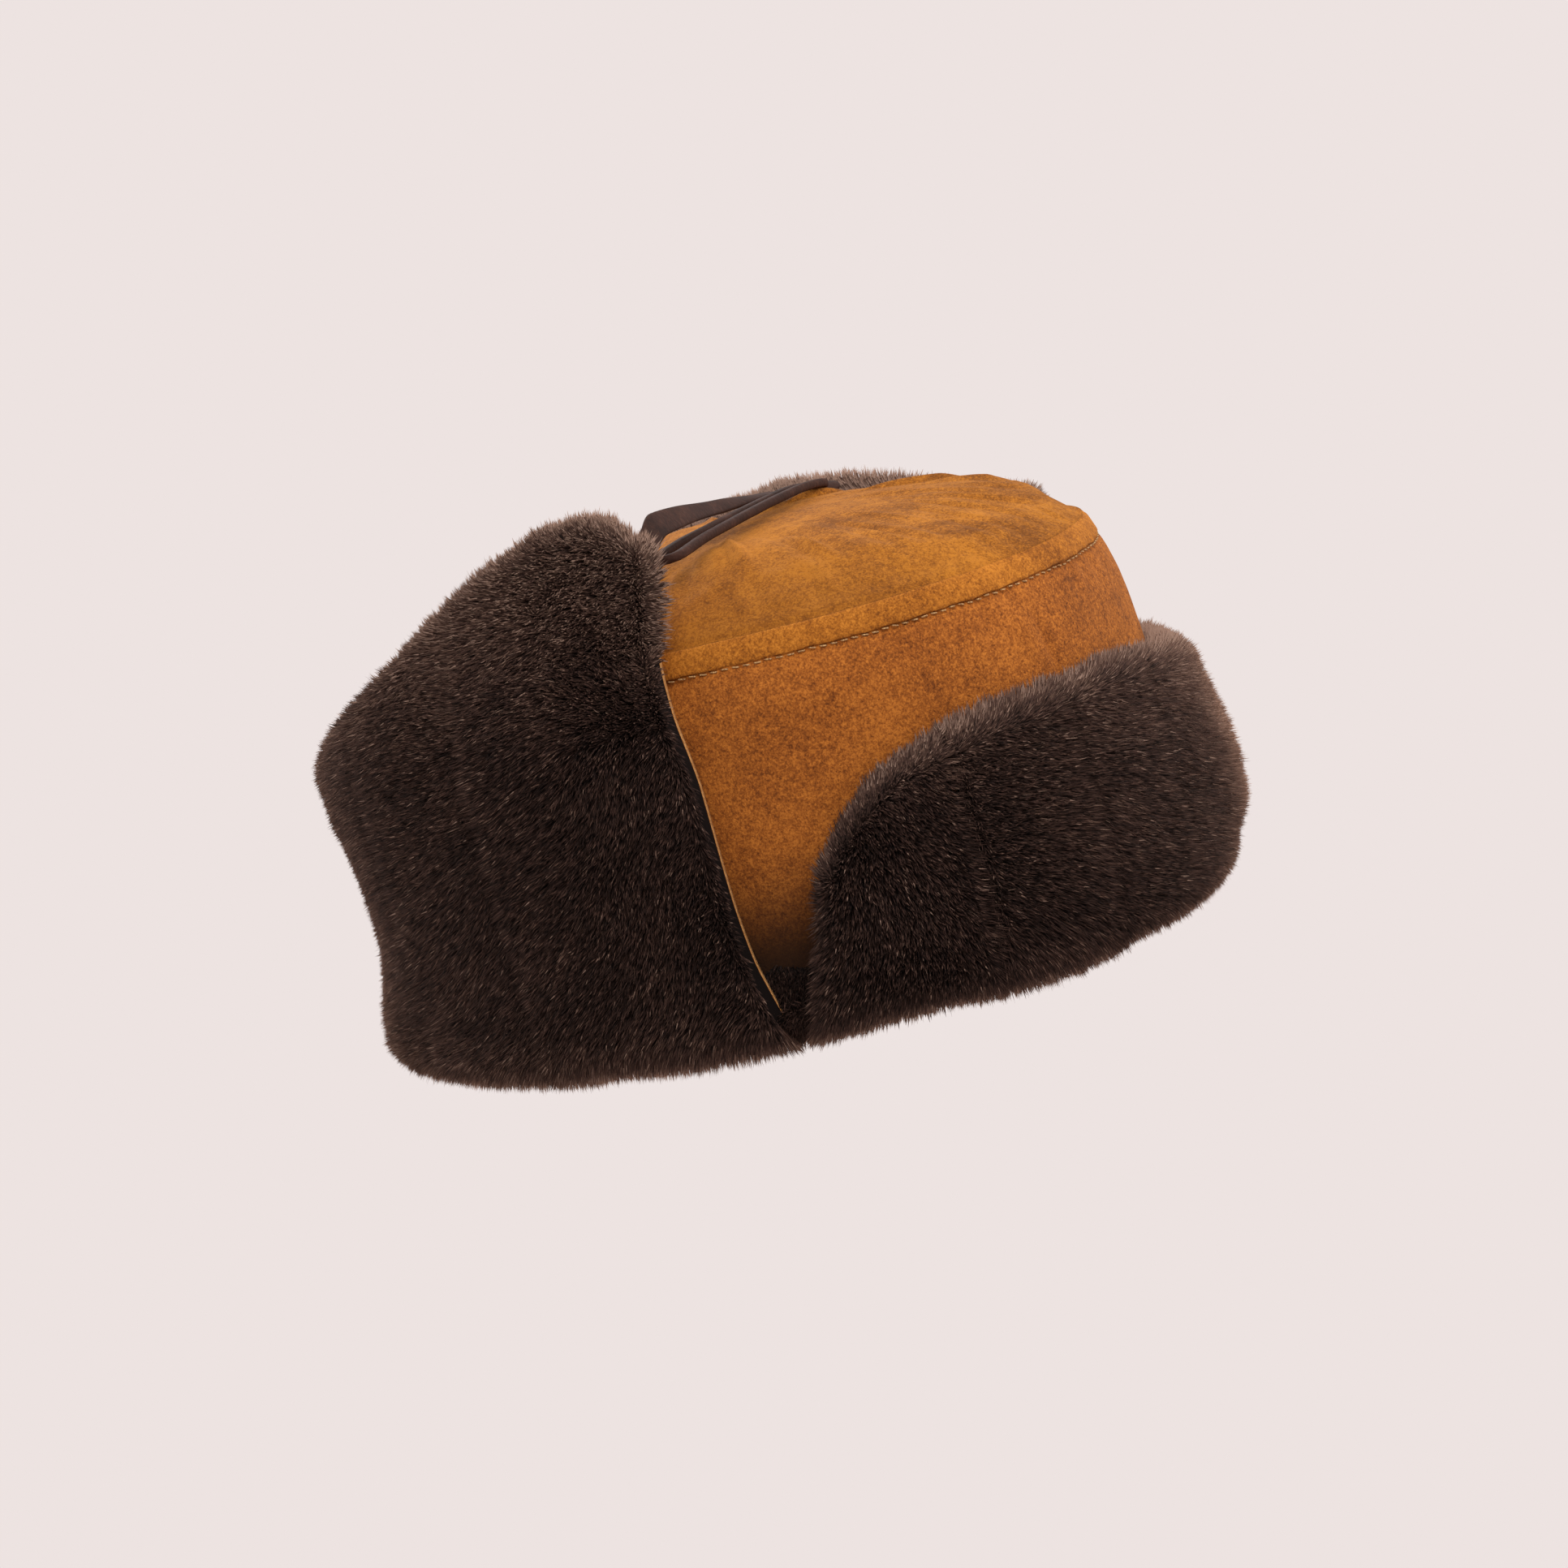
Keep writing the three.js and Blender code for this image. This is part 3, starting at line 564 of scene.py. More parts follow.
def build_seam_strip():
    """Soft raised strip around the top of the band, with a rolled lower edge."""
    angle = np.linspace(0, 360, 540, endpoint=False)[:, None]
    share, thick = (column[None, :] for column in np.array(STRIP_PROFILE).T)
    thick = STRIP_THICKNESS * thick
    low = 102.3 + 0.35 * wavy(angle, 21) + 0.12 * np.sin(np.radians(angle) * 60)
    high = TOP_Z + 0.25 * wavy(angle, 22)
    z = low + (high - low) * share
    seat_z = np.minimum(z, 108.6)
    width = curve(BAND, seat_z) - 0.9 * np.maximum(seat_z - BAND_TOP, 0) - 0.2
    quilt = 0.16 * np.cos(np.radians(angle) * 118) * np.exp(-(share / 0.25) ** 2)
    seat = oval(angle, width, seat_z)
    lump = lumps(seat, 31, 0.30, 12) + lumps(seat, 32, 0.16, 4.5)
    base = oval(angle, width, z)
    outer = draw_in(base + scaled(outward(angle), thick + lump * (thick > 0.5) - quilt))
    points, faces = slab(draw_in(base), outer, closed=True)
    strip = mesh_object("seam_strip_suede", [(points, [faces], None)], [SUEDE_STRIP])
    register(strip, "crown", "seam_allowance")


def build_stitches():
    """Short threads along the seam strip's lower edge, with ends sunk into the groove."""
    fine = np.linspace(0, 360, 3601)
    width = curve(BAND, STITCH_Z)
    arc = arc_lengths(oval(fine, width, STITCH_Z))
    count = int(arc[-1] / STITCH_PITCH)
    half = 0.5 * STITCH_LENGTH / arc[-1] * 360
    rings, sides = 7, 6
    share = np.linspace(0, 1, rings)
    along = 2 * share - 1
    radius = STITCH_RADIUS * np.sqrt(np.clip(1 - along ** 6, 0.02, 1))
    around = 2 * math.pi * np.arange(sides) / sides
    parts = []
    for i in range(count):
        middle = np.interp((i + 0.5) * arc[-1] / count, arc, fine)
        angle = middle - half + 2 * half * share
        z = (101.75 + 0.32 * wavy(angle, 21) + 0.12 * np.sin(np.radians(angle) * 60)
             + RNG.normal(0, 0.07) + (share - 0.5) * RNG.normal(0.25, 0.12))
        lift = -0.36 + 0.36 * np.sqrt(np.clip(1 - along ** 4, 0, 1)) + RNG.normal(0, 0.06)
        centre = draw_in(oval(angle, width + lift, z))
        spokes = np.cos(around)[None, :, None] * outward(angle)[:, None, :] + np.sin(
            around)[None, :, None] * UP
        points = centre[:, None, :] + radius[:, None, None] * spokes
        a = np.arange(rings * sides).reshape(rings, sides)
        b = np.roll(a, -1, 1)
        parts.append((points.reshape(-1, 3), [quads(a[:-1], b[:-1], b[1:], a[1:])], None))
    stitches = mesh_object("stitches", parts, [THREAD])
    recalc_normals(stitches, fill_holes=True)
    register(stitches, "crown", "topstitch")


def dome(angle, ring):
    """Points of the smooth crown top; ring is 0 at its centre and 1 at its seam."""
    points = oval(angle, TOP_HALF_WIDTH * ring, 0, OVAL_EXTRA * ring)
    x, y = points[..., 0] / TOP_HALF_WIDTH, points[..., 1] / TOP_HALF_LENGTH
    r = np.minimum(1, (np.abs(x) ** OVAL_POWER + np.abs(y) ** OVAL_POWER) ** (1 / OVAL_POWER))
    points[..., 2] = TOP_Z + TOP_RISE * (1 - r ** 6) ** 1.6 + (-8 * y - 16 * y * y) * (1 - r * r)
    return points


CLOTH = dict(
    quality=6, mass=0.25,
    tension_stiffness=25, compression_stiffness=25, shear_stiffness=8, bending_stiffness=1.2,
    tension_damping=12, compression_damping=12, shear_damping=8, air_damping=3,
    shrink_min=-0.016,                       # negative: a little spare length
    vertex_group_mass="pin", pin_stiffness=1.0,
    use_pressure=True, uniform_pressure_force=0.0)
CLOTH_CACHE_END, CLOTH_LAST_FRAME = 36, 30
# powers of x and y in the broad shape that is taken out of the settled panel
FIT_POWERS = [(0, 0), (1, 0), (0, 1), (2, 0), (0, 2), (1, 1), (4, 0), (0, 4), (2, 2), (3, 0),
              (0, 3)]


def settle_panel():
    """Folds of the top panel as cloth pinned at its seam: rings, shift[angle][ring]."""
    rings = np.concatenate([np.linspace(0.05, 0.80, 22), np.linspace(0.83, 1.0, 8)])
    count = 120
    drawn = dome(np.linspace(0, 360, count, endpoint=False)[:, None], rings[None, :])
    start = drawn.copy()
    start[..., 2] += smooth(1.0, 0.8, rings)[None, :] * (
        lumps(drawn, 141, 1.6, 30) + lumps(drawn, 142, 0.8, 14))
    points = np.concatenate([start.reshape(-1, 3), [[0, 0, start[:, 0, 2].mean()]]])
    a = np.arange(count * len(rings)).reshape(count, -1)
    a = np.concatenate([a, a[:1]])
    sides = quads(a[:-1, :-1], a[:-1, 1:], a[1:, 1:], a[1:, :-1])
    fan = np.stack([np.full(count, len(points) - 1), a[:-1, 0], a[1:, 0]], -1)
    panel = mesh_object("panel_cloth", [(points, [sides, fan], None)], [])

    pin = panel.vertex_groups.new(name="pin")
    for j, weight in enumerate(smooth(0.90, 0.97, rings)):
        if weight > 0:
            pin.add([int(v) for v in a[:-1, j]], float(weight), "REPLACE")
    cloth = panel.modifiers.new("cloth", "CLOTH")
    for key, value in CLOTH.items():
        setattr(cloth.settings, key, value)
    cloth.collision_settings.use_self_collision = False
    cloth.point_cache.frame_start = 1
    cloth.point_cache.frame_end = CLOTH_CACHE_END
    scene = bpy.context.scene
    for frame in range(1, CLOTH_LAST_FRAME + 1):
        scene.frame_set(frame)
    mesh = panel.evaluated_get(bpy.context.evaluated_depsgraph_get()).to_mesh()
    settled = np.empty(len(mesh.vertices) * 3, np.float32)
    mesh.vertices.foreach_get("co", settled)
    shift = settled.reshape(-1, 3)[:-1].reshape(drawn.shape) * 1000.0 - drawn
    # a cloth run that blows up leaves the panel as drawn
    if not np.isfinite(shift).all():
        shift = np.zeros_like(shift)
    scene.frame_set(1)
    bpy.data.objects.remove(panel, do_unlink=True)

    # the overall crown height stays as drawn; the folds are kept
    x, y = drawn[..., 0] / TOP_HALF_WIDTH, drawn[..., 1] / TOP_HALF_LENGTH
    terms = np.stack([x ** i * y ** j for i, j in FIT_POWERS], -1).reshape(-1, len(FIT_POWERS))
    fit = np.linalg.lstsq(terms, shift.reshape(-1, 3), rcond=None)[0]
    shift = shift - (terms @ fit).reshape(shift.shape)
    return rings, np.clip(shift * 1.5, -3.0, 2.2) * smooth(1.0, 0.9, rings)[None, :, None]


def panel_folds(angle, ring):
    """The settled shift, interpolated at a column of angles and a row of rings."""
    rings, shift = settle_panel()
    column = angle / 360 * len(shift)
    i = np.floor(column).astype(int) % len(shift)
    next_i = (i + 1) % len(shift)
    across = (column - np.floor(column))[..., None]
    row = np.interp(ring, rings, np.arange(len(rings)))
    j = np.clip(np.floor(row).astype(int), 0, len(rings) - 2)
    along = (row - j)[..., None]
    here = shift[i, j] * (1 - along) + shift[i, j + 1] * along
    beside = shift[next_i, j] * (1 - along) + shift[next_i, j + 1] * along
    return here * (1 - across) + beside * across


def hill(points, x, y, half_width, half_length, height):
    return height * np.exp(-(((points[..., 0] - x) / half_width) ** 2
                             + ((points[..., 1] - y) / half_length) ** 2))


def build_top_panel():
    ring = np.concatenate([np.linspace(0.02, 0.86, 74), np.linspace(0.87, 1.0, 26)])[None, :]
    angle = np.linspace(0, 360, 480, endpoint=False)[:, None]
    form = dome(angle, ring)
    form[..., :2] *= (1 + 0.018 * smooth(0.85, 1.0, ring))[..., None]
    form[..., 2] += 0.7 * smooth(0.93, 0.985, ring) + hill(form, *TOP_SWELL) * smooth(
        1.0, 0.9, ring)
    wave = lumps(form, 41, 0.9, 42)
    dent = sum(hill(form, *row) for row in TOP_DENTS)
    gathered = (0.28 * gathers(angle, 74, 2.2, 44)
                * smooth(0.80, 0.93, ring) * smooth(1.0, 0.965, ring))
    seam_groove = np.exp(-((ring - 0.990) / 0.010) ** 2)
    top = form.copy()
    top[..., 2] += smooth(1.0, 0.86, ring) * (wave - dent) + gathered - seam_groove
    top = draw_in(top + panel_folds(angle, ring))
    bottom = top.copy()
    bottom[..., 2] = np.minimum(top[..., 2], form[..., 2]) - SKIN
    points, faces = domed_sheet(top, bottom)
    panel = mesh_object("crown_top_suede", [(points, faces, None)], [SUEDE_TOP])
    recalc_normals(panel)
    register(panel, "crown", "crown_panel")


# ---------------------------------------------------------------- flap surfaces
def neckness(angle):
    """1 over the neck, 0 at the ears."""
    return smooth(128, 150, angle) * (1 - smooth(210, 232, angle))


def curtain_length(angle):
    angle = np.asarray(angle, float)
    return np.where(angle <= 180, curve(CURTAIN_RIGHT_LENGTH, angle),
                    curve(CURTAIN_LEFT_LENGTH, angle)) - CURTAIN_TRIM


def curtain(angle, rise):
    """Crown side of the ear and neck flaps' skin."""
    angle, rise = np.broadcast_arrays(np.asarray(angle, float), np.asarray(rise, float))
    left = smooth(205, 250, angle)
    turn = (LOBE_DEG * smooth(266, CURTAIN_TO, angle) * curve(LOBE, rise)
            - curve(EDGE, rise) * (1 - smooth(CURTAIN_FROM, 90, angle)))
    upper = curve(RIGHT_WIDTH, rise) * (1 - left) + curve(LEFT_WIDTH, rise) * left
    width = (np.where(rise <= 110, curve(WALL_WIDTH, rise), upper)
             + neckness(angle) * curve(NECK_ADD, rise)
             + smooth(252, 266, angle) * curve(LOBE_ADD, rise))
    z = curve(RIGHT_Z, rise) * (1 - left) + curve(LEFT_Z, rise) * left
    return oval(angle + turn, width, z)


def front_length(angle):
    return curve(FRONT_LENGTH, angle)


def front(angle, rise):
    """Crown side of the brow flap's skin."""
    spread = np.sign(angle) * smooth(52, FRONT_TO, np.abs(angle)) * curve(BROW, rise)
    z = 1.5 + np.asarray(rise, float) * 0.995
    return oval(angle + spread, curve(FRONT_WIDTH, rise), z)


def tip_depth(kind, angle, rise):
    if kind == "front":
        # fuller at the lower half of its left side
        extra = 3.2 * smooth(2, -22, angle) * smooth(4, 14, rise) * smooth(58, 34, rise)
        return curve(FRONT_TIPS, rise) + extra
    neck = neckness(angle)
    return curve(EAR_TIPS, rise) * (1 - neck) + curve(NECK_TIPS, rise) * neck


def surface_frame(surface, angle, rise):
    """Unit vectors of a flap surface: normal away from the crown, up and across."""
    across = surface(angle + 0.3, rise) - surface(angle - 0.3, rise)
    up = surface(angle, rise + 1) - surface(angle, np.maximum(rise - 1, 0))
    normal = unit(np.cross(across, up))
    facing = (normal * outward(angle)).sum(-1)
    flip = (facing < -0.3) | ((normal[..., 2] < 0) & (np.abs(facing) < 0.5))
    return np.where(flip[..., None], -normal, normal), unit(up), unit(across)


# ---------------------------------------------------------------- flap strips
# row of flaps: kind, strip names in order of angle, first and last angle, surface, length
FLAP_ROWS = [
    ("ear", ["right_ear_front", "right_ear_middle", "right_ear_back", "neck_right",
             "neck_centre", "neck_left", "left_ear_back", "left_ear_middle", "left_ear_front"],
     CURTAIN_FROM, CURTAIN_TO, curtain, curtain_length),
    ("front", ["front_left_end", "front_left_outer", "front_left_inner", "front_centre",
               "front_right_inner", "front_right_outer", "front_right_end"],
     FRONT_FROM, FRONT_TO, front, front_length)]
# degrees the pile rolls round the free side of the end strips
END_ROLL = {"right_ear_front": 72, "left_ear_front": 70,
            "front_left_end": 45, "front_right_end": 45}


def equal_turns(start, end, count):
    """Angles that part the oval into count stretches of equal turning."""
    fine = np.linspace(start, end, 2001)
    normals = outward(fine)
    steps = np.arccos(np.clip((normals[1:] * normals[:-1]).sum(-1), -1, 1))
    turn = np.concatenate([[0], np.cumsum(steps)])
    between = [fine[np.searchsorted(turn, turn[-1] * k / count)] for k in range(1, count)]
    return [start] + between + [end]


class Strip:
    """One flap strip that folds about a straight chord; a free side has no mitre (None)."""

    def __init__(self, name, kind, start, end, mitres, surface, length):
        self.name, self.kind = name, kind
        self.start, self.end = start, end
        self.surface, self.length = surface, length
        self.mitres = mitres
        # -1 where the start side is free, 1 where the end side is, else 0
        self.free_side = (mitres[1] is None) - (mitres[0] is None)
        self.end_roll = math.radians(END_ROLL.get(name, 0))
        first, last = (oval(angle, FOLD_WIDTH, FOLD_Z) for angle in (start, end))
        self.along = unit(last - first)
        normal = np.array([self.along[1], -self.along[0], 0])
        self.normal = normal if normal @ first > 0 else -normal
        self.middle = (first + last) / 2
        self.half = np.linalg.norm(last - first) / 2

    def inside(self, along, off, clearance, side):
        """Hold distances along the chord clear of the mitre on a side (0 start, 1 end)."""
        mitre = self.mitres[side]
        if mitre is None:
            return along
        if side == 0:
            return np.maximum(along, -self.half + np.abs(off) * math.tan(mitre) + clearance)
        return np.minimum(along, self.half - np.abs(off) * math.tan(mitre) - clearance)

    def pull_in(self, points, share):
        """Squeeze a grid, whose rows lie at a share across the strip, between its mitres."""
        from_middle = points - self.middle
        along, off = from_middle @ self.along, from_middle @ self.normal
        clearance = GAP / 2 + 0.02
        shift_start = self.inside(along[0], off[0], clearance, 0) - along[0]
        shift_end = self.inside(along[-1], off[-1], clearance, 1) - along[-1]
        along = along + shift_start[None] * (1 - share)[:, None] + shift_end[None] * share[:, None]
        return (self.middle + scaled(self.along, along) + scaled(self.normal, off)
                + scaled(UP, from_middle[..., 2]))


def all_strips():
    strips = []
    for kind, names, first, last, surface, length in FLAP_ROWS:
        angles = equal_turns(first, last, len(names))
        corners = [oval(angle, FOLD_WIDTH, 0) for angle in angles]
        chords = [unit(b - a) for a, b in zip(corners, corners[1:])]
        mitres = [math.acos(min(1, float(a @ b))) / 2 for a, b in zip(chords, chords[1:])]
        mitres = [None, *mitres, None]
        for k, name in enumerate(names):
            strips.append(Strip(name, kind, angles[k], angles[k + 1], mitres[k:k + 2],
                                surface, length))
    return strips


def strip_grid(strip, share, height_share):
    """Angle, length and rise over a grid of shares across and up a strip."""
    angle = strip.start + (strip.end - strip.start) * share[:, None]
    length = strip.length(angle)
    rise = height_share[None, :] * length
    return angle + 0 * rise, length, rise


def build_skin(strip):
    columns = 26
    rows = max(24, int(strip.length((strip.start + strip.end) / 2) / 3))
    share = np.linspace(0, 1, columns)
    angle, length, rise = strip_grid(strip, share, np.linspace(0, 1, rows))
    points = strip.surface(angle, rise)
    normal = surface_frame(strip.surface, angle, rise)[0]
    # both faces round in over the top 3 mm
    rounding = 0.35 * (1 - np.sqrt(np.minimum(length - rise, 3.0) / 3.0))
    inner = strip.pull_in(points + scaled(normal, 0.05 + rounding), share)
    outer = strip.pull_in(points + scaled(normal, SKIN - rounding), share)
    points, faces = slab(inner, outer)
    # the faces after the two broad sides are the cut edge, in its own tone
    slots = np.arange(len(faces)) >= 2 * (columns - 1) * (rows - 1)
    skin = mesh_object(strip.name + "_suede", [(points, [faces], slots)],
                       [SUEDE_FLAP, CUT_EDGE])
    register(skin, strip.name, strip.name + "_skin")


# ---------------------------------------------------------------- tufts
BENT_FACES = np.array([[0, 2, 1], [0, 1, 4], [0, 4, 3], [1, 2, 5], [1, 5, 4], [2, 0, 3],
                       [2, 3, 5], [3, 4, 6], [4, 5, 6], [5, 3, 6]])
PLAIN_FACES = np.array([[0, 2, 1], [0, 1, 3], [1, 2, 3], [2, 0, 3]])


def tuft_part(root, tip, phase, radius, tone, rings, faces, tones, bow=0.0):
    """Closed three-sided tufts as a mesh part, with the sideways direction of ring points.

    rings: share up the tuft, share of the radius, share of the bow
    tones: first face, amount off the tone, lowest and highest slot; face 0 stays in slot 0
    """
    stem = tip - root
    axis = unit(stem)
    across = np.where(np.abs(axis[:, 2:3]) > 0.9, [[1.0, 0, 0]], [[0, 0, 1.0]])
    side_a = unit(np.cross(axis, across))
    side_b = np.cross(axis, side_a)
    rows, sides = [], []
    for height, wide, bowed in rings:
        for k in range(3):
            turn = phase + 2 * math.pi * k / 3
            side = scaled(side_a, np.cos(turn)) + scaled(side_b, np.sin(turn))
            rows.append(root + stem * height + bow * bowed + scaled(side, radius * wide))
            sides.append(side)
    points = np.stack(rows + [tip], 1)
    starts = np.arange(len(root)) * points.shape[1]
    slots = np.zeros((len(root), len(faces)), int)
    for first, drop, lowest, highest in tones:
        slots[:, first:] = np.clip(np.round(tone - drop), lowest, highest)[:, None]
    all_faces = (starts[:, None, None] + faces[None]).reshape(-1, 3)
    return (points.reshape(-1, 3), [all_faces], slots.ravel()), sides


def simple_tufts(root, direction, length, radius, seed, tone_shift=0.0):
    """Straight tufts with their own random stream, as a mesh part."""
    rng = np.random.default_rng(seed)
    count = len(root)
    tip = (root + scaled(direction, length * rng.uniform(0.75, 1.15, count))
           + scaled(rng.normal(0, 0.22, root.shape), length))
    phase = rng.uniform(0, 6.283, count)
    tone = 2.3 + tone_shift + lumps(root, 93, 0.8, 14.0) + rng.normal(0, 0.6, count)
    # the lower faces sit 1.2 slots darker: painted shade deep in the pile
    return tuft_part(root, tip, phase, radius, tone,
                     rings=((0.0, 1.0, 0), (0.6, 0.75, 0)), faces=BENT_FACES,
                     tones=((1, 1.2, 0, 3), (7, 0.0, 1, 5)))[0]


def jittered_grid(columns, rows):
    a, b = np.meshgrid(np.arange(columns), np.arange(rows), indexing="ij")
    return (a.ravel() + RNG.uniform(0, 1, a.size), b.ravel() + RNG.uniform(0, 1, b.size))


# ---------------------------------------------------------------- flap pile
# The pile rolls over each edge: roots turn about ROLL_EDGE (ROLL_END at a free side) inside
# it, and a spot's distance past there is laid along the wider arc (all mm; rolls in radians)
ROLL_EDGE, ROLL_END = 5.0, 4.5
LOW_ARC, TOP_ARC, END_ARC = ROLL_EDGE + 8, ROLL_EDGE + 7, ROLL_END + 7
LOW_ROLL, TOP_ROLL = math.radians(97), math.radians(88)
STRIP_LAP = 1.3          # spots past a mitred side
CLUMP_SIZE = 1.9
CLUMP_PULL = 0.22


def build_pad(strip):
    """Solid cushion that the tufts grow from: points and quads."""
    def rounded(distance, radius):
        return np.sqrt(np.clip(1 - (1 - np.minimum(distance / radius, 1)) ** 2, 0.0, 1))

    rows = max(30, int(strip.length((strip.start + strip.end) / 2) / 2.2))
    share = np.linspace(0, 1, 30)
    height_share = np.concatenate([[0, 0.012, 0.03, 0.055], np.linspace(0.085, 0.925, rows),
                                   [0.95, 0.97, 0.985, 1.0]])
    angle, length, rise = strip_grid(strip, share, height_share)
    points = strip.surface(angle, rise)
    normal = surface_frame(strip.surface, angle, rise)[0]
    depth = 0.5 * tip_depth(strip.kind, angle, rise)
    fullness = rounded(rise + 0.2, 7) * rounded(length - rise + 0.1, 7)
    span = (strip.end - strip.start) * 2.0
    if strip.free_side < 0:
        fullness = fullness * rounded(share[:, None] * span + 0.1, 6)
    if strip.free_side > 0:
        fullness = fullness * rounded((1 - share)[:, None] * span + 0.1, 6)
    lump = lumps(points, 61, 0.35, 5.0)
    thick = np.maximum(0.1, (depth - SKIN) * fullness + lump * (fullness > 0.3))
    inner = strip.pull_in(points + normal * (SKIN + 0.2), share)
    outer = strip.pull_in(points + scaled(normal, SKIN + 0.25 + thick), share)
    return slab(inner, outer)


def scatter(strip):
    """Jittered tuft spots over the strip and round its rolled edges."""
    step = 0.50
    fine = np.linspace(strip.start, strip.end, 400)
    lengths = strip.length(fine)
    arc = arc_lengths(strip.surface(fine, lengths.mean() * 0.5) + outward(fine) * 11.0)
    total = arc[-1]
    first, last = -STRIP_LAP, total + STRIP_LAP
    flat_first, flat_last = 0, total
    if strip.free_side < 0:
        first = -END_ARC * strip.end_roll + ROLL_END
        flat_first = ROLL_END
    if strip.free_side > 0:
        last = total + END_ARC * strip.end_roll - ROLL_END
        flat_last = total - ROLL_END
    low = -LOW_ARC * LOW_ROLL + ROLL_EDGE
    high = lengths.max() - ROLL_EDGE + TOP_ARC * TOP_ROLL
    across, rise = jittered_grid(int((last - first) / step), int((high - low) / step))
    spots = SimpleNamespace(across=first + across * step, rise=low + rise * step)

    def keep(mask):
        for key, values in vars(spots).items():
            setattr(spots, key, values[mask])

    spots.flat_across = np.clip(spots.across, flat_first, flat_last)
    past = spots.across - spots.flat_across
    spots.end_turn = np.where(past * strip.free_side > 0, past, 0) / END_ARC
    spots.angle = np.interp(spots.flat_across, arc, fine)
    spots.length = strip.length(spots.angle)
    keep(spots.rise <= spots.length - ROLL_EDGE + TOP_ARC * TOP_ROLL)
    if strip.free_side:
        # the free side's upper corner is rounded off
        spots.corner = np.clip(np.abs(spots.end_turn) / strip.end_roll, 0, 1)
        spots.length = spots.length - 9.0 * spots.corner ** 2.2
    flat_top = spots.length - ROLL_EDGE
    spots.edge_turn = np.where(
        spots.rise < ROLL_EDGE, -(ROLL_EDGE - spots.rise) / LOW_ARC,
        np.where(spots.rise > flat_top, (spots.rise - flat_top) / TOP_ARC, 0.0))
    if strip.free_side:
        up_turn = np.maximum(spots.edge_turn, 0) / TOP_ROLL
        keep((spots.edge_turn <= 0) | (up_turn ** 2 + spots.corner ** 2 < 1.0))
    spots.flat_rise = np.clip(spots.rise, ROLL_EDGE, spots.length - ROLL_EDGE)
    if strip.name == "right_ear_front":
        # this free side rolls less below its upper part
        limit = np.radians(36 + 36 * smooth(98, 122, spots.flat_rise))
        keep(-spots.end_turn < limit)
    return spots, total


def clump_centres(spots, seed):
    """Nearest jittered cell point of each spot, and that clump's random share."""
    cell_x, cell_y = (np.floor(v / CLUMP_SIZE) for v in (spots.across, spots.rise))
    best = np.full(len(spots.across), 1e9)
    clump_x, clump_y, clump_share = (np.zeros(len(best)) for _ in range(3))
    for dx in (-1, 0, 1):
        for dy in (-1, 0, 1):
            i, j = (cell_x + dx).astype(np.int64), (cell_y + dy).astype(np.int64)
            x = (i + hash01(i, j, 0, seed)) * CLUMP_SIZE
            y = (j + hash01(i, j, 1, seed)) * CLUMP_SIZE
            distance = (spots.across - x) ** 2 + (spots.rise - y) ** 2
            nearer = distance < best
            best = np.where(nearer, distance, best)
            clump_x = np.where(nearer, x, clump_x)
            clump_y = np.where(nearer, y, clump_y)
            clump_share = np.where(nearer, hash01(i, j, 2, seed), clump_share)
    return clump_x, clump_y, clump_share


def fur_tone(strip, spots, skin, clump):
    """Tone of each tuft: the FUR slot its tip is nearest to."""
    z, angle = skin[:, 2], spots.angle
    edge, end = np.abs(spots.edge_turn), np.abs(spots.end_turn)
    tone = (2.2 + lumps(skin, 91, 0.6, 16.0, octaves=3) + (clump - 0.5) * 0.8
            + RNG.normal(0, 0.75, len(z)))
    # painted highlight: lighter round the rolled edges and the free ends, where the rims catch the
    # light
    tone += np.where(spots.edge_turn > 0, 1.2, 2.0) * smooth(0.4, 1.2, edge)
    tone += 0.5 * smooth(0.3, 1.0, end)
    if strip.kind == "front":
        # painted light: lighter at the top and towards the left end
        tone += 0.7 * smooth(42, 66, z) + 2.8 * smooth(8, -38, angle)
    else:
        # painted light: lighter at the top, from the neck on, high on the left and at the fold
        tone += (1.7 * smooth(82, 130, z) + 0.5 * smooth(140, 165, angle)
                 + 1.2 * smooth(225, 250, angle) * smooth(90, 115, z) + 0.6 * smooth(20, 4, z))
    # a few pale tufts
    tone += 2.4 * (RNG.uniform(0, 1, len(z)) < 0.03)
    return tone


